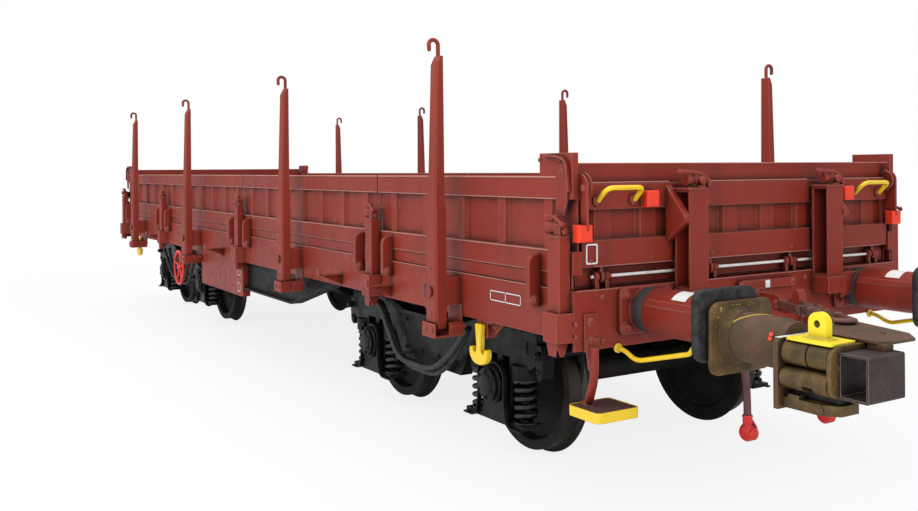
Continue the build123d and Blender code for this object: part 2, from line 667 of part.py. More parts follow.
# ---------------------------------------------------------------- small fittings of the frame
PANEL_U0 = -1440.0
PANEL_U1 = -20.0
PANEL_T = 8.0
PANEL_LOW = RAIL + 575
with BuildPart() as number_panels:
    for side in (-1, 1):
        y = side * (BELLY_Y + BELLY_FLANGE_HALF)
        block(XM + PANEL_U0, XM + PANEL_U1, y, y + side * PANEL_T, PANEL_LOW, SOLE_LOW)
save(number_panels.part, "number_panels")

TOW_U = HALF_L - 900
with BuildPart() as tow_hook_brackets:
    for end in (-1, 1):
        for side in (-1, 1):
            x = XM + end * TOW_U
            block(x - 45, x + 45, side * (HALF_W - 70), side * (HALF_W - 10), SOLE_LOW - 90, SOLE_LOW)
save(tow_hook_brackets.part, "tow_hook_brackets")

with BuildPart() as tow_hooks:
    for end in (-1, 1):
        for side in (-1, 1):
            x = XM + end * TOW_U
            y0 = side * (HALF_W - 10)
            top = SOLE_LOW - 20
            with BuildSketch(along(max(y0, y0 + side * 40))):
                with BuildLine():
                    Polyline((x - 28, top), (x + 28, top), (x + 24, top - 170), (x + 60, top - 140),
                             (x + 75, top - 160), (x + 40, top - 225), (x, top - 235),
                             (x - 40, top - 225), (x - 75, top - 160), (x - 60, top - 140),
                             (x - 24, top - 170), close=True)
                make_face()
            extrude(amount=40)
save(tow_hooks.part, "tow_hooks")

WHEEL_U = -2270.0
WHEEL_CZ = RAIL + 680
HANDWHEEL_R = 210.0
HANDWHEEL_Y = HALF_W + 35
with BuildPart() as handwheels:
    for side in (-1, 1):
        x = XM + WHEEL_U
        y = side * HANDWHEEL_Y
        with BuildSketch(Plane(origin=(x, y, WHEEL_CZ), x_dir=(1, 0, 0), z_dir=(0, side, 0))):
            RegularPolygon(HANDWHEEL_R, 30)
            RegularPolygon(HANDWHEEL_R - 24, 30, mode=Mode.SUBTRACT)
            for n in range(5):
                Rectangle(18, HANDWHEEL_R - 12, rotation=72 * n, align=(Align.CENTER, Align.MIN))
            RegularPolygon(34, 12)
        extrude(amount=22)
        bar((x, y + side * 30, WHEEL_CZ), (x, side * (HALF_W - 80), WHEEL_CZ), 16)
        block(x - 40, x + 40, side * HALF_W, side * (HALF_W + 10), WHEEL_CZ - 40, SOLE_LOW + 70)
save(handwheels.part, "handwheels")

STEP_Y = HALF_W - 105
STEP_US = ((1, -1), (-1, 1))
with BuildPart() as step_irons:
    for end, side in STEP_US:
        x0 = XM + end * HALF_L
        y = side * STEP_Y
        block(x0, x0 + end * 10, y - 45, y + 45, HEAD_LOW - 5, RAIL + 1065)
        rod((x0 + end * 34, y, HEAD_LOW + 40), (x0 + end * 34, y, RAIL + 545), 24)
save(step_irons.part, "step_irons")

with BuildPart() as step_treads:
    for end, side in STEP_US:
        x0 = XM + end * (HALF_L - 110)
        y = side * (STEP_Y - 60)
        block(x0, x0 + end * 330, y - 190, y + 190, RAIL + 500, RAIL + 560)
        block(x0 + end * 6, x0 + end * 324, y - 184, y + 184, RAIL + 545, RAIL + 560, mode=Mode.SUBTRACT)
save(step_treads.part, "step_treads")

with BuildPart() as buffer_handles:
    for end in (-1, 1):
        for side in (-1, 1):
            x0 = XM + end * HALF_L
            ya = side * 1060
            with BuildLine() as rail_path:
                FilletPolyline((x0, ya, HEAD_LOW + 30), (x0 + end * 60, ya, HEAD_LOW + 30),
                               (x0 + end * 130, ya, HEAD_LOW - 50),
                               (x0 + end * 380, ya - side * 60, HEAD_LOW - 50),
                               (x0 + end * 420, ya - side * 60, HEAD_LOW + 10), radius=28)
            with BuildSketch(Plane(origin=rail_path.line @ 0, z_dir=rail_path.line % 0)):
                RegularPolygon(12, 8)
            sweep(path=rail_path.line)
save(buffer_handles.part, "buffer_handles")

CYLINDER_Z = BEARER_LOW - 190
RESERVOIR_Z = BEARER_LOW - 240
with BuildPart() as air_brake:
    rod((XM + 150, -500, CYLINDER_Z), (XM + 700, -500, CYLINDER_Z), 160)
    rod((XM + 700, -500, CYLINDER_Z), (XM + 1150, -500, CYLINDER_Z), 25)
    rod((XM - 700, 550, RESERVOIR_Z), (XM + 700, 550, RESERVOIR_Z), 200)
    for u in (-800, 800):
        block(XM + u - 12, XM + u + 12, 500, 600, RESERVOIR_Z - 60, BEARER_LOW)
    rod((XM - 812, 550, RESERVOIR_Z), (XM - 700, 550, RESERVOIR_Z), 60)
    rod((XM + 700, 550, RESERVOIR_Z), (XM + 812, 550, RESERVOIR_Z), 60)
    block(XM + 790, XM + 814, -560, -440, CYLINDER_Z - 60, BEARER_LOW)
    rod((XM + 700, -500, CYLINDER_Z), (XM + 812, -500, CYLINDER_Z), 60)
save(air_brake.part, "air_brake")


# ---------------------------------------------------------------- coupling adapter
HEADSTOCK_X = XM + HALF_L
PAD_X = HEADSTOCK_X + BUFFER_L
PAD_T = 24.0
PAD_Y = -808.0
PAD_W = 410.0
PAD_H = 350.0
TUBE_Y = -830.0
TUBE_Z = RAIL + 1003
TUBE_R = 120.0
END_PLATE_X = HEADSTOCK_X + 1000
END_PLATE_T = 28.0
JAW_X1 = HEADSTOCK_X + 1300
JAW_Y0 = -970.0
JAW_Y1 = -700.0
BOX_Y0 = -940.0
BOX_Y1 = -694.0
BOX_LOW = RAIL + 837
BOX_TOP = RAIL + 1034
BOX_WALL = 12.0
FLAT_PLATE_Z = RAIL + 1060

with BuildPart() as adapter_tube:
    with BuildSketch(across(PAD_X)):
        with Locations((PAD_Y, RAIL + 995)):
            RectangleRounded(PAD_W, PAD_H, 45)
    extrude(amount=PAD_T)
    rod((PAD_X + PAD_T, TUBE_Y, TUBE_Z), (PAD_X + PAD_T + 24, TUBE_Y, TUBE_Z), TUBE_R + 26)
    rod((PAD_X + PAD_T + 24, TUBE_Y, TUBE_Z), (END_PLATE_X, TUBE_Y, TUBE_Z), TUBE_R)
    block(END_PLATE_X, END_PLATE_X + END_PLATE_T, JAW_Y0, JAW_Y1 + 30, RAIL + 739, RAIL + 1059)
save(adapter_tube.part, "adapter_tube")

with BuildPart() as adapter_jaw:
    jaw_x0 = END_PLATE_X + END_PLATE_T
    prism(across(jaw_x0), [
        (JAW_Y0, RAIL + 980), (JAW_Y0 - 12, RAIL + 1000), (JAW_Y0 - 12, RAIL + 1035),
        (JAW_Y0, RAIL + 1055), (JAW_Y1, RAIL + 1055), (JAW_Y1, RAIL + 800), (JAW_Y0 + 60, RAIL + 800),
        (JAW_Y0 + 60, RAIL + 880), (JAW_Y0, RAIL + 880), (JAW_Y0 - 12, RAIL + 900),
        (JAW_Y0 - 12, RAIL + 935), (JAW_Y0 + 30, RAIL + 955), (JAW_Y0 + 30, RAIL + 970)],
        JAW_X1 - 20 - jaw_x0)
    block(jaw_x0 + 120, jaw_x0 + 180, JAW_Y0 - 20, JAW_Y0 + 60, RAIL + 870, RAIL + 912,
          mode=Mode.SUBTRACT)
    block(jaw_x0, JAW_X1, JAW_Y0, JAW_Y0 + 170, RAIL + 755, RAIL + 800)
    with BuildSketch(across(JAW_X1 - 20)):
        with Locations((JAW_Y0 + 55, RAIL + 960)):
            RectangleRounded(130, 155, 30)
    extrude(amount=20)
save(adapter_jaw.part, "adapter_jaw")

with BuildPart() as adapter_box:
    block(JAW_X1, HEADSTOCK_X + ADAPTER_L, BOX_Y0, BOX_Y1, BOX_LOW, BOX_TOP)
    block(JAW_X1 + BOX_WALL, HEADSTOCK_X + ADAPTER_L - BOX_WALL, BOX_Y0 - 1, BOX_Y1 + 1,
          BOX_LOW + BOX_WALL, BOX_TOP - BOX_WALL, mode=Mode.SUBTRACT)
    with BuildSketch(level(FLAT_PLATE_Z)):
        with BuildLine():
            Polyline((jaw_x0 - 60, -655), (jaw_x0 + 60, -770), (JAW_X1 + 60, -770), (JAW_X1 + 110, -700),
                     (JAW_X1 + 110, -560), (JAW_X1 + 20, -470), (jaw_x0 - 60, -380), close=True)
        make_face()
    extrude(amount=14)
    block(JAW_X1 + BOX_WALL, JAW_X1 + 100, -760, BOX_Y1, BOX_TOP, FLAT_PLATE_Z)
save(adapter_box.part, "adapter_box")

EYE_X = jaw_x0 + 135
with BuildPart() as adapter_lifting_eye:
    block(jaw_x0 + 10, jaw_x0 + 255, -965, -795, RAIL + 1055, RAIL + 1067)
    with BuildSketch(along(-860)):
        with Locations((EYE_X, RAIL + 1067 + 35)):
            Rectangle(95, 70)
        with Locations((EYE_X, RAIL + 1067 + 70)):
            Circle(47.5)
            Circle(16, mode=Mode.SUBTRACT)
    extrude(amount=42)
save(adapter_lifting_eye.part, "adapter_lifting_eye")


# ---------------------------------------------------------------- bogies
FRAME_TOP = RAIL + 780       # middle of the side frame
FRAME_END_TOP = RAIL + 825
FRAME_END = 1325.0
FRAME_LOW = RAIL + 420
ARCH_Z = RAIL + 645          # underside over the axle box
POT_Z = RAIL + 600           # underside over the springs
SPRING_FROM_AXLE = 245.0
SPRING_R = 78.0
SPRING_LOW = RAIL + 250
SPRING_TOP = RAIL + 520
SEAT_T = 26.0
BOX_HALF_W = 120.0
GUIDE_GAP = 12.0
GUIDE_T = 28.0
GUIDE_LOW = RAIL + 350
COVER_R = 104.0
COVER_T = 45.0
END_BEAM_W = 68.0
END_BEAM_H = 70.0
BOLSTER_HALF = 230.0
BOLSTER_LOW = RAIL + 560
SHOE_Y0 = 732.0
SHOE_Y1 = 812.0
SHOE_T = 46.0
HANGER_Y = 560.0
HALF_BASE = WHEELBASE / 2
AXLE_R = 80.0
BACK_Y = TREAD_Y - 67        # wheel's back face
RIM_Y = TREAD_Y + 68
WEB_Y = TREAD_Y - 44


def side_frame(x):
    """Outline of a bogie side frame: cranked top, horn guides beside the axle boxes, deep middle."""
    near = HALF_BASE - BOX_HALF_W - GUIDE_GAP
    far = HALF_BASE + BOX_HALF_W + GUIDE_GAP
    half = [(0, FRAME_TOP), (450, FRAME_TOP), (620, FRAME_END_TOP), (FRAME_END, FRAME_END_TOP),
            (FRAME_END, POT_Z + 40), (FRAME_END - 60, POT_Z), (far + GUIDE_T, POT_Z),
            (far + GUIDE_T, GUIDE_LOW), (far, GUIDE_LOW), (far, ARCH_Z), (near, ARCH_Z),
            (near, GUIDE_LOW), (near - GUIDE_T, GUIDE_LOW), (near - GUIDE_T, POT_Z), (540, POT_Z),
            (430, FRAME_LOW), (0, FRAME_LOW)]
    return [(x + u, z) for u, z in half] + [(x - u, z) for u, z in reversed(half[1:-1])]


for bogie_number, end in ((1, 1), (2, -1)):
    bogie_x = XM + end * PIVOT_U
    springs_x = [bogie_x + hand * HALF_BASE + spring_hand * SPRING_FROM_AXLE
                 for hand in (-1, 1) for spring_hand in (-1, 1)]

    with BuildPart() as bogie_frame:
        inner_y = BOGIE_SIDE_Y - BOGIE_SIDE_T / 2
        outer_y = BOGIE_SIDE_Y + BOGIE_SIDE_T / 2
        for side in (-1, 1):
            prism(along(side * BOGIE_SIDE_Y + BOGIE_SIDE_T / 2), side_frame(bogie_x), BOGIE_SIDE_T)
            for sx in springs_x:
                bar((sx, side * BOGIE_SIDE_Y, SPRING_TOP), (sx, side * BOGIE_SIDE_Y, POT_Z + 10),
                    SPRING_R + 9, flats=16)
        with BuildSketch(across(bogie_x - BOLSTER_HALF)):
            with BuildLine():
                Polyline((-inner_y, FRAME_TOP - 30), (-400, FRAME_TOP - 30), (-250, BOGIE_TOP), (250, BOGIE_TOP),
                         (400, FRAME_TOP - 30), (inner_y, FRAME_TOP - 30), (inner_y, BOLSTER_LOW + 60),
                         (700, BOLSTER_LOW), (-700, BOLSTER_LOW), (-inner_y, BOLSTER_LOW + 60), close=True)
            make_face()
        extrude(amount=2 * BOLSTER_HALF)
        for hand in (-1, 1):
            beam_end = bogie_x + hand * FRAME_END
            block(beam_end - hand * END_BEAM_W, beam_end, -outer_y, outer_y,
                  FRAME_END_TOP, FRAME_END_TOP + END_BEAM_H)
        rod((bogie_x, 0, BOGIE_TOP), (bogie_x, 0, PIVOT_FACE - PIVOT_GAP), PIVOT_R + 45)
        rod((bogie_x, 0, PIVOT_FACE), (bogie_x, 0, PIVOT_FACE - PIVOT_PIN_L - CLEAR), PIVOT_PIN_R,
            mode=Mode.SUBTRACT)
    save(bogie_frame.part, f"bogie_{bogie_number}_frame")

    with BuildPart() as axle_boxes:
        for hand in (-1, 1):
            ax = bogie_x + hand * HALF_BASE
            seat_half = SPRING_FROM_AXLE + SPRING_R + 8
            for side in (-1, 1):
                y0 = side * (JOURNAL_Y - 75)
                y1 = side * (JOURNAL_Y + 85)
                with BuildSketch(along(max(y0, y1))):
                    with BuildLine():
                        Polyline((ax - BOX_HALF_W, AXLE_Z + 70), (ax - BOX_HALF_W, SPRING_LOW + 60),
                                 (ax - BOX_HALF_W - 30, SPRING_LOW), (ax - seat_half, SPRING_LOW),
                                 (ax - seat_half, SPRING_LOW - SEAT_T), (ax + seat_half, SPRING_LOW - SEAT_T),
                                 (ax + seat_half, SPRING_LOW), (ax + BOX_HALF_W + 30, SPRING_LOW),
                                 (ax + BOX_HALF_W, SPRING_LOW + 60), (ax + BOX_HALF_W, AXLE_Z + 70))
                        ThreePointArc((ax + BOX_HALF_W, AXLE_Z + 70), (ax, AXLE_Z + 140),
                                      (ax - BOX_HALF_W, AXLE_Z + 70))
                    make_face()
                extrude(amount=abs(y1 - y0))
                bar((ax, y1, AXLE_Z), (ax, y1 + side * COVER_T, AXLE_Z), COVER_R, flats=24)
                bar((ax, y1 + side * COVER_T, AXLE_Z), (ax, y1 + side * (COVER_T + 16), AXLE_Z), 52, flats=12)
                rod((ax, y0 - side, AXLE_Z), (ax, side * (JOURNAL_Y + 70), AXLE_Z),
                    JOURNAL_R + RUNNING_FIT, mode=Mode.SUBTRACT)
                block(ax - 30, ax + 30, side * (JOURNAL_Y - 30), side * (JOURNAL_Y + 30), AXLE_Z + 100, ARCH_Z)
    save(axle_boxes.part, f"bogie_{bogie_number}_axle_boxes")

    with BuildPart() as springs:
        for sx in springs_x:
            for side in (-1, 1):
                bar((sx, side * BOGIE_SIDE_Y, SPRING_LOW), (sx, side * BOGIE_SIDE_Y, SPRING_TOP),
                    SPRING_R, flats=16)
    save(springs.part, f"bogie_{bogie_number}_springs")

    with BuildPart() as brake_gear:
        for hand in (-1, 1):
            ax = bogie_x + hand * HALF_BASE
            beam_x = ax - hand * (WHEEL_R + 90)
            block(beam_x - 30, beam_x + 30, -SHOE_Y1, SHOE_Y1, AXLE_Z - 50, AXLE_Z + 20)
            for side in (-1, 1):
                with BuildSketch(along(max(side * SHOE_Y0, side * SHOE_Y1))):
                    with Locations((ax, AXLE_Z)):
                        Circle(WHEEL_R + CLEAR + 4 + SHOE_T)
                        Circle(WHEEL_R + CLEAR + 4, mode=Mode.SUBTRACT)
                    with Locations((ax - hand * WHEEL_R, AXLE_Z)):
                        Rectangle(200, 260, mode=Mode.INTERSECT)
                extrude(amount=SHOE_Y1 - SHOE_Y0)
                block(ax - hand * (WHEEL_R + 40), beam_x, side * (SHOE_Y0 + 15), side * (SHOE_Y1 - 15),
                      AXLE_Z - 40, AXLE_Z + 10)
                prism(along(side * HANGER_Y + 8), [
                    (beam_x - hand * 15, AXLE_Z + 20), (beam_x + hand * 25, AXLE_Z + 20),
                    (bogie_x + hand * (BOLSTER_HALF - 2), BOLSTER_LOW),
                    (bogie_x + hand * (BOLSTER_HALF - 80), BOLSTER_LOW)], 16)
    save(brake_gear.part, f"bogie_{bogie_number}_brake_gear")

    for axle_number, hand in ((1, 1), (2, -1)):
        ax = bogie_x + end * hand * HALF_BASE
        with BuildPart() as wheelset:
            with BuildSketch(Plane(origin=(ax, 0, AXLE_Z), x_dir=(0, 1, 0), z_dir=(1, 0, 0))):
                with BuildLine():
                    half = [(0, AXLE_R), (WEB_Y - 60, AXLE_R), (WEB_Y - 20, 115), (WEB_Y, 200),
                            (WEB_Y, WHEEL_R - 80), (BACK_Y, WHEEL_R - 65), (BACK_Y, WHEEL_R + RAIL - 8),
                            (BACK_Y + 12, WHEEL_R + RAIL), (BACK_Y + 26, WHEEL_R + RAIL - 8),
                            (BACK_Y + 42, WHEEL_R), (RIM_Y, WHEEL_R - 4), (RIM_Y, WHEEL_R - 65),
                            (WEB_Y + 38, WHEEL_R - 80), (WEB_Y + 38, 200), (RIM_Y + 12, 115),
                            (RIM_Y + 60, 110), (JOURNAL_Y - 95, AXLE_R), (JOURNAL_Y - 75, JOURNAL_R),
                            (JOURNAL_Y + 60, JOURNAL_R)]
                    tip = JOURNAL_Y + 60
                    outline = [(-tip, 0)] + [(-y, r) for y, r in reversed(half[1:])] + half[1:] + [(tip, 0)]
                    Polyline(*outline, close=True)
                make_face()
            revolve(axis=Axis((ax, 0, AXLE_Z), (0, 1, 0)))
        save(wheelset.part, f"wheelset_{2 * bogie_number - 2 + axle_number}")
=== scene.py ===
"""Looks of the bogie flat wagon: camera, materials, cords, detailed pieces, floor and light.

The row frame: +X towards the end with the adapter, +Z up.
"""
import bmesh
import bpy
import json
import math
import random
from mathutils import Matrix, Vector


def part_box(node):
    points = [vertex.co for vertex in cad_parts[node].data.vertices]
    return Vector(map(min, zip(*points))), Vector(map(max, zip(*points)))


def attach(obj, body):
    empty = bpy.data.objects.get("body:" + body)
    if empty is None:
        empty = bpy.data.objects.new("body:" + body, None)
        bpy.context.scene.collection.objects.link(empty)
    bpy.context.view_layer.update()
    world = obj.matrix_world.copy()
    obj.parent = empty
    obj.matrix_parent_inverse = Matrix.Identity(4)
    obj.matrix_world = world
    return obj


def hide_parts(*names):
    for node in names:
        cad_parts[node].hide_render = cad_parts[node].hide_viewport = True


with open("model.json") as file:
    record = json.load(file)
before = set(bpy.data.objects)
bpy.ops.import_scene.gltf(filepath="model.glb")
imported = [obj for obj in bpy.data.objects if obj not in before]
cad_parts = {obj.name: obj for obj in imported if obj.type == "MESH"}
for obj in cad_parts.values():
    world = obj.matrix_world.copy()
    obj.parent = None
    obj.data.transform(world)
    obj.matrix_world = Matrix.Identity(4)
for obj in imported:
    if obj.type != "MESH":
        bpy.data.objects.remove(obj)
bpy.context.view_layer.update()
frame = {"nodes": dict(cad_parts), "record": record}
BASE = "underframe"
DICE = random.Random(7)

# ---------------- places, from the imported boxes
def box_mm(node):
    return [corner * 1000 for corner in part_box(node)]


HEAD = box_mm("headstocks")
SOLE = box_mm("sole_bars")
FLOOR = box_mm("floor")
PANEL = box_mm("number_panels")
RAIL = 28  # the rail's top; most heights below are measured from it
NEAR_X = HEAD[1].x  # outer face of the headstock with the adapter
FAR_X = HEAD[0].x
MID_X = (NEAR_X + FAR_X) / 2
HALF_L = (NEAR_X - FAR_X) / 2
ENDS = ((1, NEAR_X), (-1, FAR_X))
SIDES = (-1, 1)
HANDS = (-1, 1)
QUARTERS = [(end, face, side) for end, face in ENDS for side in SIDES]
SOLE_Y = 1350  # outer faces, measured across from the middle
BOARD_Y = 1345
END_BOARD = -20  # the end board's outer face, measured out from the headstock's
END_POST_Y = 575
HEAD_LOW = HEAD[0].z - RAIL
POST_XS = [MID_X + u for u in (-HALF_L + 80, -3070, 0, 3070, HALF_L - 80)]
STAKE_XS = [MID_X + u for u in (-4195, -1535, 1535, 4195)]
STAKE_IN, STAKE_OUT, STAKE_TOP, STAKE_PIN_Z = 1452, 1532, 2520, 1075
BUFFER_Y = 875
BUFFER_Z = 1060
HOOK_Z = BUFFER_Z - 10
HOSE_YS = (-240, 430)
HOSE_ROUTE = ((95, 850), (95, 790), (150, 600), (150, 420))
HOSE_D = 0.044
PIVOT_X, AXLE_X = 3300, 900  # bogie pivots from the wagon's middle, axles from the pivot
AXLE_Z = RAIL + 460
SPRING_LOW, SPRING_TOP = 278, 548
ALONG, ACROSS, UP, DOWN = (1, 0, 0), (0, 1, 0), (0, 0, 1), (0, 0, -1)


def both_sides(xs):
    return [(x, side) for x in xs for side in SIDES]


# ---------------- camera
YAW = 0.5696
ROLL = -0.0071
camera_data = bpy.data.cameras.new("camera")
camera = bpy.data.objects.new("camera", camera_data)
bpy.context.scene.collection.objects.link(camera)
camera_data.sensor_width = 36
camera_data.lens = 37.335294
camera_data.shift_x = -0.0397
camera_data.shift_y = -0.0937
camera_data.clip_end = 200
look = Vector((-math.cos(YAW), math.sin(YAW), 0)).to_track_quat("-Z", "Y").to_matrix().to_4x4()
stand = Matrix.Translation(((NEAR_X + 3918) / 1000, -4.3325, (RAIL + 1820) / 1000))
camera.matrix_world = stand @ look @ Matrix.Rotation(ROLL, 4, "Z")
bpy.context.scene.camera = camera


# ---------------- materials
def grey(value):
    return (value, value, value)


def scaled(color, factor):
    return tuple(c * factor for c in color)


class Tree:
    """The node tree of a material or a world; sockets are handed on from node to node."""

    def __init__(self, owner):
        owner.use_nodes = True
        self.tree = owner.node_tree
        self.tree.nodes.clear()

    def feed(self, entry, value):
        """Joins an input to a socket, or sets it to a constant."""
        if isinstance(value, bpy.types.NodeSocket):
            self.tree.links.new(value, entry)
        else:
            entry.default_value = (*value, 1) if entry.type == "RGBA" else value

    def add(self, kind, **settings):
        """Adds a node; each setting is a property, or an input's name with _ for a space."""
        made = self.tree.nodes.new("ShaderNode" + kind)
        for key, value in settings.items():
            if hasattr(made, key):
                setattr(made, key, value)
            else:
                self.feed(made.inputs[key.replace("_", " ")], value)
        return made

    def calc(self, operation, a, b, kind="Math"):
        made = self.add(kind, operation=operation)
        self.feed(made.inputs[0], a)
        self.feed(made.inputs[1], b)
        return made.outputs[0]

    def length(self, vector):
        made = self.add("VectorMath", operation="LENGTH")
        self.feed(made.inputs[0], vector)
        return made.outputs["Value"]

    def ramp(self, source, stops):
        made = self.add("ValToRGB", Fac=source)
        row = made.color_ramp.elements
        while len(row) < len(stops):
            row.new(0.5)
        for element, (position, color) in zip(row, stops):
            element.position = position
            element.color = (*color, 1)
        return made.outputs["Color"]

    def mix(self, factor, a, b):
        """Mixes two colours, each a socket or a constant."""
        made = self.add("Mix", data_type="RGBA")
        for index, value in ((0, factor), (6, a), (7, b)):
            self.feed(made.inputs[index], value)
        return made.outputs[2]

    def blend(self, factor, a, b):
        """Mixes two shaders."""
        made = self.add("MixShader", Fac=factor)
        self.feed(made.inputs[1], a)
        self.feed(made.inputs[2], b)
        return made.outputs["Shader"]


class Shader(Tree):
    """A material around one principled surface."""

    def __init__(self, name):
        self.material = bpy.data.materials.new(name)
        super().__init__(self.material)
        self.surface = self.add("BsdfPrincipled")
        self.out = self.add("OutputMaterial", Surface=self.surface.outputs["BSDF"])
        self.place = self.add("TexCoord").outputs["Object"]

    def noise(self, scale, detail, stretch=(1, 1, 1)):
        """Noise on the object's own coordinates, stretched along its axes."""
        mapping = self.add("Mapping", Vector=self.place, Scale=stretch)
        return self.add("TexNoise", Vector=mapping.outputs[0], Scale=scale, Detail=detail).outputs["Fac"]

    def mask(self, scale, detail, low, high, top=1.0, bottom=0.0, stretch=(1, 1, 1)):
        """Noise cut to greys: bottom below the low value, top above the high one."""
        return self.ramp(self.noise(scale, detail, stretch), ((low, grey(bottom)), (high, grey(top))))

    def edges(self, radius=0.005):
        """A mask of the edges, and the rounded normal that makes it."""
        normal = self.add("Bevel", samples=4, Radius=radius).outputs["Normal"]
        face = self.add("NewGeometry").outputs["Normal"]
        dot = self.add("VectorMath", operation="DOT_PRODUCT")
        self.feed(dot.inputs[0], normal)
        self.feed(dot.inputs[1], face)
        less = self.calc("SUBTRACT", 1.0, dot.outputs["Value"])
        return self.ramp(less, ((0.01, grey(0)), (0.12, grey(1)))), normal

    def shade_in_gaps(self, reach):
        """A mask for painted shade: white in corners and narrow gaps, black on open faces."""
        sky = self.add("AmbientOcclusion", samples=6, Distance=reach)
        return self.ramp(sky.outputs["AO"], ((0.35, grey(1)), (0.9, grey(0))))

    def finish(self, color, rough, relief, normal=None, **surface):
        """Colour, roughness, and relief as (height, strength, distance); then the material is done."""
        height, strength, distance = relief
        bump = self.add("Bump", Strength=strength, Distance=distance, Height=height)
        if normal is not None:
            self.feed(bump.inputs["Normal"], normal)
        self.look(Base_Color=color, Roughness=rough, Normal=bump.outputs["Normal"], **surface)
        return self.material

    def look(self, **surface):
        for key, value in surface.items():
            self.feed(self.surface.inputs[key.replace("_", " ")], value)


def painted(name, color, wear_and_highlight, dirt_and_shade, rough=0.45, edge=0.5, dirt=0.5, gloss=0.5, rounding=0.005):
    """Paint with patches of a second tone, run-down dirt, painted shade in corners and gaps, lighter edges (partly
    worn paint, partly a painted highlight) and a little orange peel.
    """
    s = Shader(name)
    tone = s.mix(s.mask(1.1, 7, 0.35, 0.7), color, scaled(color, 0.78))
    tone = s.mix(s.mask(5, 6, 0.5, 0.82, dirt, stretch=(1, 1, 0.12)), tone, dirt_and_shade)
    tone = s.mix(s.mask(60, 3, 0.66, 0.74, dirt * 0.7), tone, dirt_and_shade)
    # painted shade: the dirt colour, darkened, in corners and narrow gaps where shade falls
    tone = s.mix(s.shade_in_gaps(0.06), tone, scaled(dirt_and_shade, 0.30))
    mask, normal = s.edges(rounding)
    # lighter edges: partly worn paint, partly a painted highlight
    return s.finish(s.mix(s.calc("MULTIPLY", mask, edge), tone, wear_and_highlight),
                    s.mask(14, 5, 0.3, 0.75, rough + 0.14, rough - 0.08),
                    (s.noise(140, 2), 0.12, 0.0008), normal, Specular_IOR_Level=gloss)


def metal(name, color, second, rough, metallic, scale, grain, bump, edge_wear_and_highlight, gloss=0.5):
    """Bare, rusty or greasy metal: two tones in patches, a fine grain, painted shade in corners and gaps, and brighter
    edges (partly wear, partly a painted highlight).
    """
    s = Shader(name)
    tone = s.mix(s.mask(scale, 8, 0.38, 0.62), color, second)
    tone = s.mix(s.mask(grain, 4, 0.4, 0.8, 0.6), tone, scaled(color, 0.55))
    # painted shade: darker in corners and narrow gaps where shade falls
    tone = s.mix(s.shade_in_gaps(0.05), tone, scaled(color, 0.3))
    mask, normal = s.edges()
    # brighter edges: partly wear, partly a painted highlight
    return s.finish(s.mix(s.calc("MULTIPLY", mask, 0.55), tone, edge_wear_and_highlight),
                    s.mask(scale * 3, 5, 0.3, 0.7, rough + 0.15, rough - 0.1),
                    (s.noise(grain, 6), bump, 0.0015), normal, Metallic=metallic, Specular_IOR_Level=gloss)


def planks(name):
    """Weathered timber: each board its own tone, grain along Y, dark cracks."""
    s = Shader(name)
    tone = s.ramp(s.add("NewGeometry").outputs["Random Per Island"],
                  ((0.0, (0.10, 0.075, 0.055)), (0.5, (0.16, 0.125, 0.09)), (1.0, (0.21, 0.175, 0.135))))
    tone = s.mix(s.mask(9, 8, 0.35, 0.7, 0.75, stretch=(6, 0.25, 6)), tone, (0.05, 0.036, 0.026))
    tone = s.mix(s.mask(1.7, 5, 0.5, 0.8, 0.5), tone, (0.07, 0.055, 0.045))
    return s.finish(tone, 0.82, (s.noise(30, 6, (5, 0.3, 5)), 0.5, 0.003))


def rubber(name, color, dust):
    s = Shader(name)
    return s.finish(s.mix(s.mask(12, 6, 0.4, 0.75, 0.7), color, dust), s.mask(25, 4, 0.3, 0.7, 0.7, 0.5),
                    (s.noise(200, 3), 0.25, 0.0008))


def wheel_steel(name, centre):
    """Dark wheel with a bright running ring, told apart by the distance from the axle's line."""
    s = Shader(name)
    offset = s.calc("SUBTRACT", s.place, centre, "VectorMath")
    radius = s.length(s.calc("MULTIPLY", offset, (1, 0, 1), "VectorMath"))
    ring = s.ramp(s.calc("MULTIPLY", radius, 2.0),
                  ((0.905, grey(0)), (0.912, grey(1)), (0.965, grey(1)), (0.97, grey(0))))
    tone = s.mix(s.mask(9, 8, 0.38, 0.68), (0.010, 0.009, 0.009), (0.026, 0.021, 0.017))
    # lighter edges: partly wear, partly a painted highlight
    mask, normal = s.edges(0.006)
    tone = s.mix(s.calc("MULTIPLY", mask, 0.3), tone, (0.09, 0.085, 0.08))
    return s.finish(s.mix(ring, tone, (0.055, 0.050, 0.043)), s.ramp(ring, ((0.0, grey(0.62)), (1.0, grey(0.34)))),
                    (s.noise(40, 6), 0.3, 0.002), normal, Metallic=ring, Specular_IOR_Level=0.2)


def step_grip(name):
    """Brown step grip with a regular pattern of small dimples."""
    s = Shader(name)
    cells = s.add("TexVoronoi", Vector=s.place, Scale=60, Randomness=0.15)
    dots = s.ramp(cells.outputs["Distance"], ((0.3, grey(0)), (0.5, grey(1))))
    return s.finish(s.mix(dots, (0.035, 0.016, 0.014), (0.15, 0.065, 0.055)), 0.7, (dots, 0.8, 0.004))


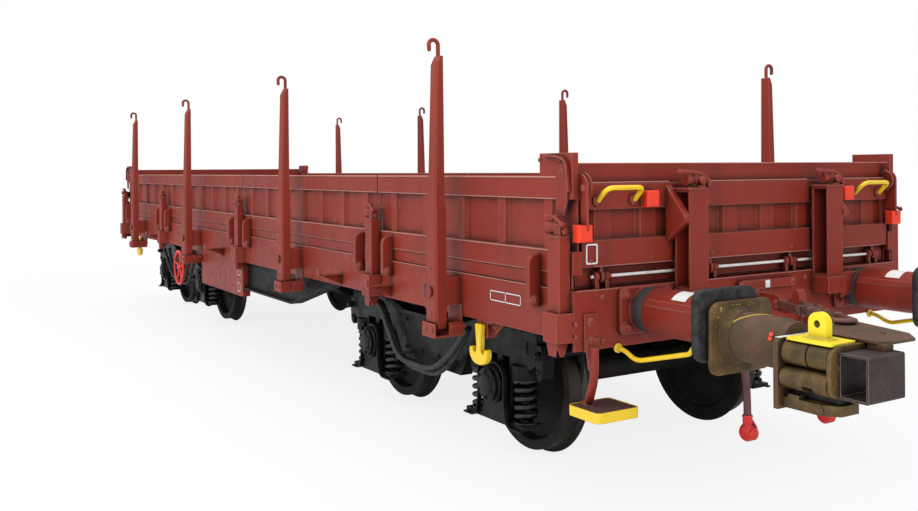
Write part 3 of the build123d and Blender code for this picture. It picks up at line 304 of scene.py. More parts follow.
PAINTS = {      # colour, edges (worn paint and painted highlight), dirt and painted shade; roughness, strength of the edges, of the dirt, gloss, rounding
    "wagon_red": ((0.262, 0.029, 0.015), (0.52, 0.20, 0.15), (0.075, 0.018, 0.012), 0.44, 0.55, 0.42, 0.28, 0.008),
    "black_steel": ((0.008, 0.008, 0.009), (0.05, 0.05, 0.05), (0.018, 0.016, 0.014), 0.5, 0.4, 0.5, 0.16),
    "yellow": ((0.92, 0.62, 0.012), (1.0, 0.85, 0.3), (0.35, 0.2, 0.02), 0.35, 0.35, 0.25),
    "signal_red": ((0.70, 0.018, 0.014), (0.95, 0.25, 0.2), (0.2, 0.01, 0.01), 0.3, 0.4, 0.3),
    "orange_red": ((0.88, 0.045, 0.012), (1.0, 0.28, 0.15), (0.45, 0.03, 0.01), 0.3, 0.4, 0.15),
    "bright_yellow": ((1.0, 0.79, 0.008), (1.0, 0.92, 0.3), (0.6, 0.4, 0.01), 0.38, 0.4, 0.12),
    # painted highlight: the lighter red of the highlight lines along the edges
    "highlight_paint_red": ((0.50, 0.19, 0.15), (0.62, 0.30, 0.25), (0.25, 0.08, 0.06), 0.4, 0.3, 0.4, 0.3),
    "link_red": ((0.17, 0.055, 0.042), (0.38, 0.20, 0.16), (0.03, 0.022, 0.018), 0.42, 0.5, 0.9),
    "chalk_yellow": ((0.55, 0.42, 0.03), (0.7, 0.6, 0.2), (0.2, 0.14, 0.03), 0.8, 0.2, 0.8),
    "plate_white": ((0.85, 0.84, 0.82), (0.95, 0.95, 0.95), (0.45, 0.4, 0.36), 0.45, 0.3, 0.25),
}
METALS = {      # colour, second tone; roughness, metallic, patches, grain, bump; edges (wear and painted highlight), gloss
    "bogie_black": ((0.007, 0.007, 0.008), (0.016, 0.014, 0.013), 0.34, 0.1, 5, 45, 0.35, (0.045, 0.045, 0.045), 0.12),
    "bright_steel": ((0.95, 0.94, 0.92), (0.90, 0.88, 0.86), 0.30, 0.0, 5, 30, 0.02, (0.9, 0.9, 0.9)),
    "spring_black": ((0.012, 0.012, 0.013), (0.022, 0.020, 0.019), 0.2, 0.2, 10, 80, 0.10, (0.12, 0.12, 0.12)),
    "buffer_dark": ((0.013, 0.014, 0.016), (0.046, 0.042, 0.044), 0.42, 0.3, 22, 60, 0.6, (0.26, 0.27, 0.29), 0.35),
    "adapter_rust": ((0.135, 0.062, 0.038), (0.085, 0.056, 0.028), 0.55, 0.1, 7, 50, 0.5, (0.26, 0.17, 0.10), 0.25),
    "adapter_ochre": ((0.070, 0.044, 0.017), (0.17, 0.100, 0.032), 0.5, 0.1, 8, 60, 0.45, (0.24, 0.17, 0.08), 0.25),
    "adapter_box_grey": ((0.036, 0.024, 0.024), (0.052, 0.036, 0.030), 0.5, 0.1, 8, 60, 0.3, (0.52, 0.43, 0.40), 0.25),
}
M = {name: painted(name, *looks) for name, looks in PAINTS.items()}
M.update({name: metal(name, *looks) for name, looks in METALS.items()})
# black rubber; the same black also serves as painted shade in slots, gaps and hollows
M.update(hose_rubber=rubber("hose_rubber", (0.085, 0.026, 0.028), (0.15, 0.07, 0.065)),
         black_rubber=rubber("black_rubber", (0.018, 0.018, 0.02), (0.05, 0.047, 0.045)),
         floor_wood=planks("floor_wood"), step_tread=step_grip("step_tread"))

BODY_SLOTS = {s["node"]: s["material_slot"] for s in frame["record"]["subparts"]}
for node_name, node in frame["nodes"].items():
    if node_name.startswith("wheelset"):
        low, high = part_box(node_name)
        paint = wheel_steel(node_name + "_steel", tuple((low + high) / 2))
    else:
        paint = M[BODY_SLOTS[node_name]]
    node.data.materials.clear()
    node.data.materials.append(paint)


# ---------------- shapes
def at(x=0, y=0, z=RAIL, end=1, side=1):
    """Sets the place that points are measured from, and whether X and Y are mirrored there."""
    Shape.origin = (x, y, z)
    Shape.signs = (end, side, 1)


class Shape:
    """A mesh gathered from closed solids of revolution, prisms, tubes and bolts."""

    def __init__(self):
        self.bm = bmesh.new()

    def way(self, direction):
        return Vector([a * sign for a, sign in zip(direction, self.signs)])

    def spots(self, points):
        return [Vector([o + a * sign for o, a, sign in zip(self.origin, p, self.signs)]) for p in points]

    def skin(self, rings, closed=False):
        """Skins rings of equal count in space, in metres; the ends are capped unless it closes on itself."""
        made = [[self.bm.verts.new(p / 1000) for p in ring] for ring in rings]
        count = len(made[0])
        for a, b in zip(made, made[1:] + (made[:1] if closed else [])):
            for n in range(count):
                m = (n + 1) % count
                self.bm.faces.new((a[n], a[m], b[m], b[n]))
        if not closed:
            self.bm.faces.new(made[0])
            self.bm.faces.new(made[-1])

    def loft(self, rings, closed=False):
        self.skin([self.spots(ring) for ring in rings], closed)

    def prism(self, points, shift):
        """A flat outline, and the same outline moved by shift."""
        self.loft([points, [[a + b for a, b in zip(p, shift)] for p in points]])

    def box(self, x0, x1, y0, y1, z0, z1):
        self.prism([(x0, y0, z0), (x1, y0, z0), (x1, y1, z0), (x0, y1, z0)], (0, 0, z1 - z0))

    def side_plate(self, outline, y0, y1):
        """Outline in X and Z, between two Y."""
        self.prism([(x, y0, z) for x, z in outline], (0, y1 - y0, 0))

    def cross_plate(self, outline, x0, x1):
        """Outline in Y and Z, between two X."""
        self.prism([(x0, y, z) for y, z in outline], (x1 - x0, 0, 0))

    def stack(self, outline, steps):
        """An outline in Y and Z, scaled at each step: (X, scale)."""
        self.loft([[(x, y * scale, z * scale) for y, z in outline] for x, scale in steps])

    def turned(self, start, axis, profile, count=32):
        """A solid of revolution: profile is a list of (distance along the axis, radius)."""
        start, = self.spots([start])
        axis = self.way(axis).normalized()
        side = axis.orthogonal().normalized()
        self.skin([circle(start + axis * d, side, axis.cross(side), max(r, 0.5), count) for d, r in profile])

    def rod(self, a, b, radius, count=20):
        a, b = Vector(a), Vector(b)
        self.turned(a, b - a, ((0, radius), ((b - a).length, radius)), count)

    def ball(self, centre, radius, count=16):
        profile = [(radius + a, b) for a, b in arc(0, 0, radius, 180, 0)]
        self.turned(Vector(centre) - Vector((0, 0, radius)), UP, profile, count)

    def bolt(self, place, axis, radius=15, height=12, washer=True):
        """A hexagon head on a washer, standing on a face."""
        place, axis = Vector(place), Vector(axis)
        if washer:
            self.turned(place - axis, axis, ((0, radius * 1.35), (4, radius * 1.3)), 16)
        self.turned(place, axis, ((0, radius), (height * 0.8, radius), (height, radius * 0.82)), 6)

    def bolts(self, places, axis, *sizes):
        for place in places:
            self.bolt(place, axis, *sizes)

    def tube(self, points, radius, count=12, closed=False):
        """A round bar along points, with the section carried along without twisting."""
        points = self.spots(points)
        ahead = points[1:] + points[:1] if closed else points[1:] + points[-1:]
        behind = points[-1:] + points[:-1] if closed else points[:1] + points[:-1]
        side = None
        rings = []
        for point, before, after in zip(points, behind, ahead):
            way = (after - before).normalized()
            side = way.orthogonal() if side is None else side - way * side.dot(way)
            side.normalize()
            rings.append(circle(point, side, way.cross(side), radius, count))
        self.skin(rings, closed)

    def strap(self, points, wide, thick, across):
        """A flat bar along points; across is the direction of its width."""
        across = self.way(across).normalized() * wide / 2
        points = self.spots(points)
        rings = []
        for before, point, after in zip(points[:1] + points, points, points[1:] + points[-1:]):
            up = (after - before).normalized().cross(across).normalized() * thick / 2
            rings.append([point - across - up, point + across - up, point + across + up, point - across + up])
        self.skin(rings)


def circle(centre, side, other, radius, count):
    """Points around a centre in space, in the plane of two directions."""
    turns = [2 * math.pi * n / count for n in range(count)]
    return [centre + side * radius * math.cos(t) + other * radius * math.sin(t) for t in turns]


def rounded(points, radius, steps=5):
    """A run of straight lines with its corners rounded, as a list of points."""
    points = [Vector(p) for p in points]
    made = [points[0]]
    for before, here, after in zip(points[:-2], points[1:-1], points[2:]):
        cut = min(radius, (before - here).length * 0.49, (after - here).length * 0.49)
        a = here + (before - here).normalized() * cut
        b = here + (after - here).normalized() * cut
        for n in range(steps + 1):
            t = n / steps
            made.append(a * (1 - t) ** 2 + here * 2 * t * (1 - t) + b * t ** 2)
    made.append(points[-1])
    return made


def arc(cx, cz, radius, start=0, end=360, steps=8):
    """Points of an arc in a plane, angles in degrees."""
    turns = [math.radians(start + (end - start) * n / steps) for n in range(steps + 1)]
    return [(cx + radius * math.cos(t), cz + radius * math.sin(t)) for t in turns]


def rounded_box(cy, cz, wide, high, corner, steps=6):
    """Outline of a rectangle with round corners."""
    made = []
    for sy, sz, start in ((1, 1, 0), (-1, 1, 90), (-1, -1, 180), (1, -1, 270)):
        made += arc(cy + sy * (wide / 2 - corner), cz + sz * (high / 2 - corner), corner, start,
                    start + 90, steps)
    return made


def grid(x, y, z):
    """Every mix of the given values of each coordinate."""
    return [(a, b, c) for a in x for b in y for c in z]


def build(name, shape):
    bmesh.ops.recalc_face_normals(shape.bm, faces=shape.bm.faces[:])
    mesh = bpy.data.meshes.new(name)
    shape.bm.to_mesh(mesh)
    shape.bm.free()
    made = bpy.data.objects.new(name, mesh)
    bpy.context.scene.collection.objects.link(made)
    return made


def piece(name, shape, slot="wagon_red", body=BASE, bevel=2, replaces=(), paint=None, sharp=38):
    """Turns a gathered shape into a piece that rides on a body."""
    made = build(name, shape)
    made.data.polygons.foreach_set("use_smooth", [True] * len(made.data.polygons))
    made.data.set_sharp_from_angle(angle=math.radians(sharp))
    made.data.materials.append(M[paint or slot])
    if bevel:
        soften = made.modifiers.new("edges", "BEVEL")
        soften.width = bevel / 1000
        soften.segments = 2
        soften.limit_method = "ANGLE"
        soften.angle_limit = math.radians(sharp)
        soften.harden_normals = True
        soften.use_clamp_overlap = True
    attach(made, body)
    if replaces:
        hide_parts(*replaces)
    return made


# ---------------- cords: the four brake hoses
cocks = Shape()
heads = []
for number, (end, face, y) in enumerate([(e, f, e * y) for e, f in ENDS for y in HOSE_YS], start=1):
    head = Shape()
    at(face + end * HOSE_ROUTE[-1][0], y, RAIL + HOSE_ROUTE[-1][1], end)
    head.turned((0, 0, 4), DOWN, ((0, 29), (12, 31), (16, 27), (50, 27), (60, 22)), 20)
    head.turned((0, -34, -95), ACROSS, ((0, 20), (6, 40), (22, 50), (46, 50), (62, 40), (68, 20)), 24)
    head.turned((2, 0, -95), ALONG, ((0, 34), (50, 34), (56, 26)), 20)
    head.tube(rounded([(0, 30, -30), (20, 50, -75), (30, 30, -130)], 20), 10, 8)
    head.box(-16, 16, -12, 12, -140, -100)
    head_piece = piece(f"hose_head_{number}", head, "signal_red")
    heads.append(head_piece)
    route = [((face + end * out) / 1000, y / 1000, (RAIL + height) / 1000) for out, height in HOSE_ROUTE]
    curve = bpy.data.curves.new(f"brake_hose_{number}", "CURVE")
    curve.dimensions = "3D"
    spline = curve.splines.new("NURBS")
    spline.points.add(len(route) - 1)
    for point, place in zip(spline.points, route):
        point.co = (*place, 1)
    spline.order_u = 3
    spline.use_endpoint_u = True
    curve.bevel_depth = HOSE_D / 2
    curve.bevel_resolution = 5
    curve.resolution_u = 16
    curve.use_fill_caps = True
    hose = bpy.data.objects.new(f"brake_hose_{number}", curve)
    bpy.context.scene.collection.objects.link(hose)
    curve.materials.append(M["hose_rubber"])
    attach(hose, BASE)
    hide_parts("brake_hoses")

    at(face, y, RAIL + 880, end)
    x = HOSE_ROUTE[0][0]
    cocks.turned((0, 0, 0), ALONG, ((0, 45), (12, 45), (14, 26), (60, 26), (62, 34), (125, 34), (130, 28)), 20)
    cocks.turned((x, 0, 48), DOWN, ((0, 20), (4, 27), (30, 30), (78, 32)), 20)
    cocks.tube(rounded([(x, 0, 50), (x, 0, 66), (x, 100, 66)], 20), 8, 8)
    cocks.bolts([(12, a, b) for a, b in arc(0, 0, 36, 45, 315, 3)], ALONG, 7, 7, False)
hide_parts("hose_fittings")
piece("hose_cocks", cocks, "signal_red", bevel=1.5, paint="wagon_red")

# ---------------- floor and light
ground = Shape()
at(z=0)
ground.box(-60000, 60000, -60000, 60000, -50, 0)
studio_floor = build("studio_floor", ground)
g = Shader("studio_floor")
g.look(Base_Color=g.mask(0.8, 4, 0.3, 0.7, 0.83, 0.80), Roughness=0.9, Specular_IOR_Level=0.1)
away = g.ramp(g.calc("MULTIPLY", g.length(g.place), 0.04), ((0.12, grey(0.84)), (0.50, grey(1))))
seen = g.calc("MULTIPLY", g.add("LightPath").outputs["Is Camera Ray"], away)
shine = g.add("Emission", Strength=1.0).outputs["Emission"]
g.feed(g.out.inputs["Surface"], g.blend(seen, g.surface.outputs["BSDF"], shine))
studio_floor.data.materials.append(g.material)

world = bpy.data.worlds.new("studio")
bpy.context.scene.world = world
w = Tree(world)
sky = w.add("Background", Color=(0.95, 0.97, 1.0), Strength=0.62).outputs["Background"]
white = w.add("Background", Color=(1, 1, 1), Strength=1.0).outputs["Background"]
w.add("OutputWorld", Surface=w.blend(w.add("LightPath").outputs["Is Camera Ray"], sky, white))

for name, place, target, size, power in (("overhead", (0, -2, 11), (0, 0, 0), 20, 1500),
        ("side", (3, -14, 6), (1, 0, 1), 16, 760), ("end", (16, -3, 5), (5, 0, 1), 11, 480)):
    light = bpy.data.lights.new(name, "AREA")
    light.shape = "SQUARE"
    light.size = size
    light.energy = power
    lamp = bpy.data.objects.new(name, light)
    bpy.context.scene.collection.objects.link(lamp)
    lamp.location = place
    lamp.rotation_mode = "QUATERNION"
    lamp.rotation_quaternion = (Vector(target) - Vector(place)).to_track_quat("-Z", "Y")
bpy.context.scene.view_settings.view_transform = "Standard"

# ---------------- floor boards
BOARD_WIDTH = 160
boards = Shape()
studs = Shape()
at(z=0)
count = int((FLOOR[1].x - FLOOR[0].x) / BOARD_WIDTH)
step = (FLOOR[1].x - FLOOR[0].x) / count
for n in range(count):
    x0 = FLOOR[0].x + n * step
    top = FLOOR[1].z - DICE.uniform(0, 3)
    boards.box(x0 + 2, x0 + step - 2, FLOOR[0].y + DICE.uniform(0, 4), FLOOR[1].y - DICE.uniform(0, 4), FLOOR[0].z
        + 1, top)
    if n:  # the tongue that closes the gap to the board before
        boards.box(x0 - 14, x0 + 14, FLOOR[0].y + 6, FLOOR[1].y - 6, FLOOR[0].z + 12, FLOOR[0].z + 26)
    for place in grid((x0 + 0.25 * step, x0 + 0.75 * step), (-1250, -260, 260, 1250), (FLOOR[1].z - 3.5,)):
        studs.turned(place, UP, ((0, 13), (3, 12), (4.5, 7)), 8)
piece("floor_boards", boards, "floor_wood", bevel=4, replaces=["floor"])
piece("floor_studs", studs, "black_steel", bevel=0)

# ---------------- stakes and their cups
STAKE_SECTIONS = (  # height, half width, depth
    (850, 50, 66), (900, 65, 80), (1170, 65, 80), (1585, 62, 80), (1634, 48, 76),
    (1700, 46.5, 72), (STAKE_TOP - 55, 39, 52), (STAKE_TOP, 38, 22))
for side_name, side in (("right", -1), ("left", 1)):
    for number, x in enumerate(reversed(STAKE_XS), start=1):
        name = f"stake_{side_name}_{number}"
        at(x, side=side)
        stake = Shape()
        rings = []
        for z, half, depth in STAKE_SECTIONS:
            cut = min(14, depth * 0.3)
            section = [(-half, 0), (half, 0), (half, depth - cut), (half - cut, depth), (-half + cut, depth),
                (-half, depth - cut)]
            rings.append([(a, STAKE_IN + b, z) for a, b in section])
        stake.loft(rings)
        hook = [(14, STAKE_TOP - 50), (14, STAKE_TOP + 64)]
        hook += arc(46, STAKE_TOP + 66, 32, 180, -12, 14) + [(76, STAKE_TOP + 38)]
        hook = [(0, STAKE_IN + a, z) for a, z in hook]
        stake.tube(hook, 13, 14)
        stake.ball(hook[-1], 13, 12)
        ear = [(-62, 1190), (-94, 1155), (-98, 1045), (-82, 985), (-62, 965)]
        stake.side_plate(ear, STAKE_OUT - 14, STAKE_OUT - 2)
        stake.bolts(grid((0,), (STAKE_OUT - 1,), (1215, 940)), ACROSS, 10, 8, False)
        piece(name + "_bar", stake, "wagon_red", name, 4, [name])
        # painted shade: a black plate stands in for the shaded opening of the slot in the stake's ear
        slot = Shape()
        slot.side_plate(arc(-66, 1100, 14, 0, 180, 6) + arc(-66, 1050, 14, 180, 360, 6), STAKE_OUT - 16, STAKE_OUT
            + 0.8)
        piece(name + "_slot", slot, "wagon_red", name, 0, paint="black_rubber")

CUP_LOW, CUP_FACE = 800, 1547
cups = Shape()
for x, side in both_sides(STAKE_XS):
    at(x, side=side)
    for hand in HANDS:
        cups.prism([(hand * 80, SOLE_Y, CUP_LOW + 4), (hand * 115, SOLE_Y, CUP_LOW + 70),
            (hand * 80, SOLE_Y, CUP_LOW + 90)], (0, 100, 0))
        cups.bolt((hand * 40, CUP_FACE, CUP_LOW + 45), ACROSS, 12, 10)
    cups.bolt((0, CUP_FACE + 2, STAKE_PIN_Z), ACROSS, 20, 1, False)
    cups.bolts(grid((-45, 45), (SOLE_Y + 3,), (STAKE_PIN_Z - 60, STAKE_PIN_Z + 60)), ACROSS, 11, 9)
piece("stake_cup_lugs", cups)

# ---------------- side latches, hinges, post feet
POST_TOP = 1463
latches, fins, feet = Shape(), Shape(), Shape()
for post, side in both_sides(POST_XS):
    at(post, 0, RAIL + POST_TOP, 1, side)
    latches.box(-52, 52, 1350, 1424, 0, 12)
    latches.box(-12, 45, 1362, 1410, 12, 75)
    latches.turned((20, 1386, 52), (-1, 0, 0), ((0, 30), (12, 36), (30, 31), (45, 31), (50, 36), (115, 36), (125, 30),
        (130, 18)), 24)
    latches.rod((-18, 1386, 0), (-18, 1386, 118), 13, 12)
    latches.turned((52, 1386, 35), ALONG, ((0, 20), (10, 20), (14, 14)), 6)
    bar = rounded([(-85, 1398, 112), (-10, 1402, 108), (70, 1416, 72)], 30)
    latches.tube(bar, 9.5, 10)
    latches.ball(bar[-1], 15.5, 12)
    latches.ball(bar[0], 11, 10)

    at(post, 0, SOLE[0].z, 1, side)
    for x in (-52, 28):
        feet.prism([(x, 1353, 0), (x, 1425, 0), (x, 1425, -30), (x, 1400, -75), (x, 1380, -75)], (8, 0, 0))
    feet.side_plate([(-52, 0), (36, 0), (28, -72), (-30, -72)], 1425, 1432)
    feet.bolts(grid((-95, 95), (SOLE_Y,), (35, 95)), ACROSS, 10, 8)

FIN = [(1350, 1262), (1345, 1275), (1345, 1360)] + arc(1374, 1308, 52, 90, 0)
FIN += [(1426, 1125)] + arc(1390, 1113, 36, 0, -100) + [(1350, 1079)]
fin_xs = [post + hand * 230 for post in POST_XS for hand in HANDS]
for x, side in both_sides([x for x in fin_xs if abs(x - MID_X) <= HALF_L - 80]):
    at(x, side=side)
    fins.cross_plate(FIN, -17, 17)
    for hand in HANDS:
        fins.turned((hand * 17, 1388, 1113), (hand, 0, 0), ((0, 32), (4, 32), (6, 26), (10, 24)), 24)
        fins.turned((hand * 26, 1388, 1113), (hand, 0, 0), ((0, 17), (8, 17), (12, 12)), 16)
    fins.bolt((-60, SOLE_Y, 1100), ACROSS, 10, 8)
piece("side_latch_set", latches, replaces=["side_latches"])
piece("side_hinge_fins", fins, bevel=2.5, replaces=["side_hinges"])
piece("post_feet", feet)

# ---------------- ends: latches, gussets, corners, handles
REFLECTORS = ((END_BOARD, 830, 1655), (-12, 1300, 1485))
tops, gussets, corners, handles, pads, rails, blocks, backs = [Shape() for n in range(8)]
for end, face, side in QUARTERS:
    at(face, side * END_POST_Y, RAIL + 1700, end)
    tops.box(-2, 125, -78, 78, 0, 12)
    tops.turned((60, -45, 50), ACROSS, ((0, 30), (8, 36), (30, 36), (34, 30), (56, 30), (60, 36), (82, 36), (90, 30)),
        24)
    tops.box(40, 80, -35, 35, 12, 45)
    tops.turned((90, 35, 50), ALONG, ((0, 24), (30, 24), (38, 16)), 16)
    bar = rounded([(70, -95, 98), (70, 50, 88), (90, 95, 60), (95, 100, 20)], 40)
    tops.tube(bar, 15, 12)
    tops.ball(bar[0], 16.5, 12)
    tops.ball(bar[-1], 15.5, 12)

    at(face + end * END_BOARD, 0, RAIL, end, side)
    rim = rounded([(-1, 0, 1728), (150, 0, 1560), (150, 0, 1530), (-1, 0, 1412)], 22)
    gussets.side_plate([(p.x, p.z) for p in rim], 647, 691)
    plate = [(-30, 1793)] + arc(10, 1735, 58, 90, 0) + [(68, 1500), (20, 1445), (-30, 1445)]
    corners.side_plate(plate, 1284, 1296)
    corners.strap(rounded([(4, 1262, 1800), (55, 1262, 1770), (66, 1262, 1710), (12, 1262, 1660)], 30), 14, 10,
        ACROSS)
    corners.bolt((30, 1296, 1720), ACROSS, 14, 10)
    handles.tube(rounded([(12, 930, 1650), (92, 930, 1720), (92, 1180, 1720), (12, 1180, 1650)], 45, 7), 13.5, 14)
    for y in (930, 1180):
        pads.turned((0, y, 1650), ALONG, ((0, 29), (12, 29), (16, 22)), 20)
        pads.bolt((14, y + 6, 1638), ALONG, 10, 9, False)

    at(face, 0, RAIL, end, side)
    corners.side_plate([(-145, 1575), (-145, 1790)] + arc(-95, 1800, 48, 180, 0) + [(-45, 1660), (-75, 1575)], 1345.5,
        1355.5)
    corners.bolt((-95, 1355.5, 1800), ACROSS, 15, 12)
    corners.bolts(grid((-120, -300), (1345.5,), (1870,)), ACROSS, 10, 8)
    corners.strap(rounded([(-240, 1357.5, 1893), (-140, 1357.5, 1888), (-45, 1357.5, 1868), (-28, 1357.5, 1700)], 50,
        6), 22, 12, ACROSS)
    for x, y, z in REFLECTORS:
        at(face + end * x, side * y, RAIL + z, end)
        backs.box(0, 8, -47, 47, -47, 47)
        blocks.loft([[(d, -w, -w), (d, w, -w), (d, w, w), (d, -w, w)] for d, w in ((6, 45.5), (52, 45.5), (58, 40))])

    at(face, 0, HEAD[0].z, end, side)
    rails.tube(rounded([(0, 1060, -6), (60, 1060, -12), (150, 1060, -52), (480, 1000, 30), (500, 1000, 60)], 45, 7),
        12.5, 14)
    rails.turned((0, 1060, -6), ALONG, ((0, 26), (8, 26), (12, 15)), 16)
piece("end_latch_tops", tops, replaces=["end_latches"])
piece("end_gussets", gussets, bevel=1.5)
piece("end_corner_links", corners)
piece("end_grab_handles", handles, "yellow", bevel=0, replaces=["end_handles"])
piece("end_handle_pads", pads, bevel=1.5)
piece("shunter_rails", rails, "yellow", bevel=0, replaces=["buffer_handles"])
piece("reflector_blocks", blocks, "orange_red", bevel=4, replaces=["lamp_blocks"])
piece("reflector_backs", backs, "orange_red", bevel=1, paint="wagon_red")

rods, knuckles = Shape(), Shape()
for end, face in ENDS:
    at(face - end * 45, 0, RAIL + 1248, end)
    rods.rod((0, -1200, 0), (0, 1200, 0), 9, 16)
    for y in (-1140, -340, 340, 1140):
        for n, radius, foot, wide, narrow in ((-1, 30, -65, 24, 14), (0, 36, 56, 18, 12), (1, 30, -65, 24, 14)):
            middle = y + n * 34
            knuckles.turned((0, middle - 12, 0), ACROSS, ((0, radius - 5), (3, radius), (21, radius),
                (24, radius - 5)), 24)
            knuckles.side_plate([(-wide, foot), (wide, foot), (narrow, 0), (-narrow, 0)], middle - 11, middle + 11)
        knuckles.turned((0, y + 50, 0), ACROSS, ((0, 18), (16, 18), (20, 14)), 6)
piece("torsion_rods", rods, bevel=1, paint="bright_steel", replaces=["end_hinges"])
piece("end_hinge_knuckles", knuckles)

# ---------------- buffers
HEAD_SECTIONS = (  # how far out, scale of the outline
    (570, 0.955), (577, 0.995), (582, 1), (604, 1), (612, 0.985), (616, 0.93), (618.5, 0.7), (619.7, 0.4),
    (620, 0.1))
RIB_ANGLE = math.radians(28)
BARREL_R = 124.5
bases, gap_shade_bands, sleeves, plungers, labels = [Shape() for n in range(5)]
for end, face, side in QUARTERS:
    at(face, side * BUFFER_Y, RAIL + BUFFER_Z, end)
    bases.cross_plate(rounded_box(0, 0, 370, 250, 30, 5), 0, 26)
    bases.turned((26, 0, 0), ALONG, ((0, 124), (12, 121), (30, 119), (50, 119)), 40)
    for x, y, z in grid((26,), (-148, 148), (-85, 85)):
        bases.turned((x, y, z), ALONG, ((0, 30), (6, 30), (10, 24)), 20)
        bases.bolt((x + 9, y, z), ALONG, 18, 22, False)
    # painted shade: a black ring standing in for the shaded gap between the flange and the barrel
    gap_shade_bands.turned((42, 0, 0), ALONG, ((0, 118), (4, 122.5), (70, 122.5), (76, 118)), 40)
    sleeves.turned((115, 0, 0), ALONG, ((0, 122), (4, 125), (300, 125), (360, 123), (440, 123), (455, 118)), 48)
    for hand in HANDS:
        out = Vector((hand * math.cos(RIB_ANGLE), math.sin(RIB_ANGLE)))
        over = Vector((-out.y * hand, out.x * hand))
        rib = [out * (BARREL_R + a) + over * b for a, b in ((-4, -17), (4, -17), (2.5, 17), (-4, 17))]
        sleeves.cross_plate(rib, 135, 550)
    plungers.stack(rounded_box(0, 0, 420, 352, 62, 8), HEAD_SECTIONS)
    patch = arc(0, 0, 126.2, 90, 135, 5)
    labels.cross_plate(patch + [(a * 0.985, b * 0.985) for a, b in reversed(patch)], 310, 410)
piece("buffer_flanges", bases, bevel=3, replaces=["buffer_bases"])
piece("buffer_gap_shade_rings", gap_shade_bands, bevel=0, paint="black_rubber")
piece("buffer_barrels", sleeves, replaces=["buffer_sleeves"])
piece("buffer_plates", plungers, "buffer_dark", bevel=0, replaces=["buffer_heads"], sharp=50)
piece("buffer_labels", labels, bevel=0, paint="plate_white")

# ---------------- draw hooks, couplings, headstocks
HOOK_LINE = ((16, -34), (120, -40), (190, -58), (250, -66), (305, -54), (338, -22), (347, 20), (342, 60), (325, 82),
    (302, 82), (291, 60), (288, 30), (270, 6), (240, 0), (213, 10), (190, 32), (150, 42), (16, 40))
hooks, bars = Shape(), Shape()
for end, face in ENDS:
    at(face, 0, RAIL + HOOK_Z, end)
    hooks.box(0, 16, -120, 120, -110, 110)
    hooks.turned((16, 0, 0), ALONG, ((0, 75), (10, 75), (30, 58)), 28)
    hooks.side_plate(HOOK_LINE, -27, 27)
    hooks.bolts(grid((16,), (-95, 95), (-85, 85)), ALONG, 17, 16)
    hooks.bolt((215, -75, -5), (0, -1, 0), 18, 12)

    at(face, end=end)
    bars.box(22, 34, -170, 310, 1107, 1158)
    for y in (-145, 285):
        bars.rod((0, y, 1132), (24, y, 1132), 18, 16)
        bars.bolt((34, y, 1132), ALONG, 14, 12)
    bars.bolts(grid((0,), (-1160, -440, 440, 1160), (HEAD_LOW + 40, HEAD_LOW + 270)), ALONG, 12, 10)
    at(face, end * 655, RAIL, end, end)
    for x in (2, 88):
        bars.cross_plate([(0, 1155), (150, 1155), (110, 1040), (0, 1010)], x, x + 10)
    bars.box(2, 100, -4, 158, 1155, 1166)
    bars.prism([(2, 104, 1040), (98, 104, 1040), (98, 146, 1156), (2, 146, 1156)], (0, 8, 0))


def coupling(shape, pin, finish, drop):
    """Links from the hook, a trunnion, a threaded screw with its lever, and the far shackle."""
    pin, finish = Vector(pin), Vector(finish)
    start = pin + (finish - pin) * drop
    line = finish - start
    way = line.normalized()
    sideways = Vector((-line.y, abs(line.x), 0)).normalized()
    upward = way.cross(sideways)
    first, second = start + line * 0.40, start + line * 0.72
    shape.rod(pin - Vector((0, 66, 0)), pin + Vector((0, 66, 0)), 18, 16)
    for hand in HANDS:
        offset = sideways * hand * 50
        eye = pin + Vector((0, hand * 50, 0))
        shape.strap(rounded([eye + (eye - start).normalized() * 30, eye, start + offset, first + offset + way * 30],
            60, 6), 44, 16, upward)
        shape.strap([first + offset - way * 30, first + offset + way * 30], 52, 22, upward)
        shape.tube([second + offset - way * 20, second + offset + line * 0.1, start + line + offset * 0.9], 15.5, 12)
    shape.tube(rounded([start + line * a + sideways * b for a, b in ((0.9, 47), (1.02, 40), (1.02, -40), (0.9, -47))],
        50, 8), 15.5, 12)
    for nut in (first, second):
        shape.rod(nut - sideways * 70, nut + sideways * 70, 19, 18)
        shape.rod(nut - way * 26, nut + way * 26, 34, 18)
    length = (second - first).length
    turns = int(length / 12)
    thread = [(0, 18)]
    for n in range(turns):
        thread += [(n * length / turns + d, r) for d, r in ((3, 22.5), (6, 22.5), (9, 18.5))]
    shape.turned(first, way, thread + [(length, 18)], 16)
    middle = (first + second) / 2
    lever = [middle, middle - Vector((0, 0, 70)), middle - Vector((0, 0, 160)) + sideways * 10]
    shape.rod(middle - way * 20, middle + way * 20, 30, 16)
    shape.tube(lever, 10, 10)
    shape.ball(lever[-1], 22, 14)


links = Shape()
at()
coupling(links, (NEAR_X + 215, 0, HOOK_Z - 5), (NEAR_X + 1005, -500, 1088), 0.06)
coupling(links, (FAR_X - 215, 0, HOOK_Z - 5), (FAR_X - 190, 0, HOOK_Z - 640), 0.12)
piece("draw_hook_forgings", hooks, bevel=6, replaces=["draw_hooks"])
piece("coupling_links", links, "buffer_dark", replaces=["screw_couplings"], paint="link_red")
piece("headstock_bars", bars, bevel=2.5)

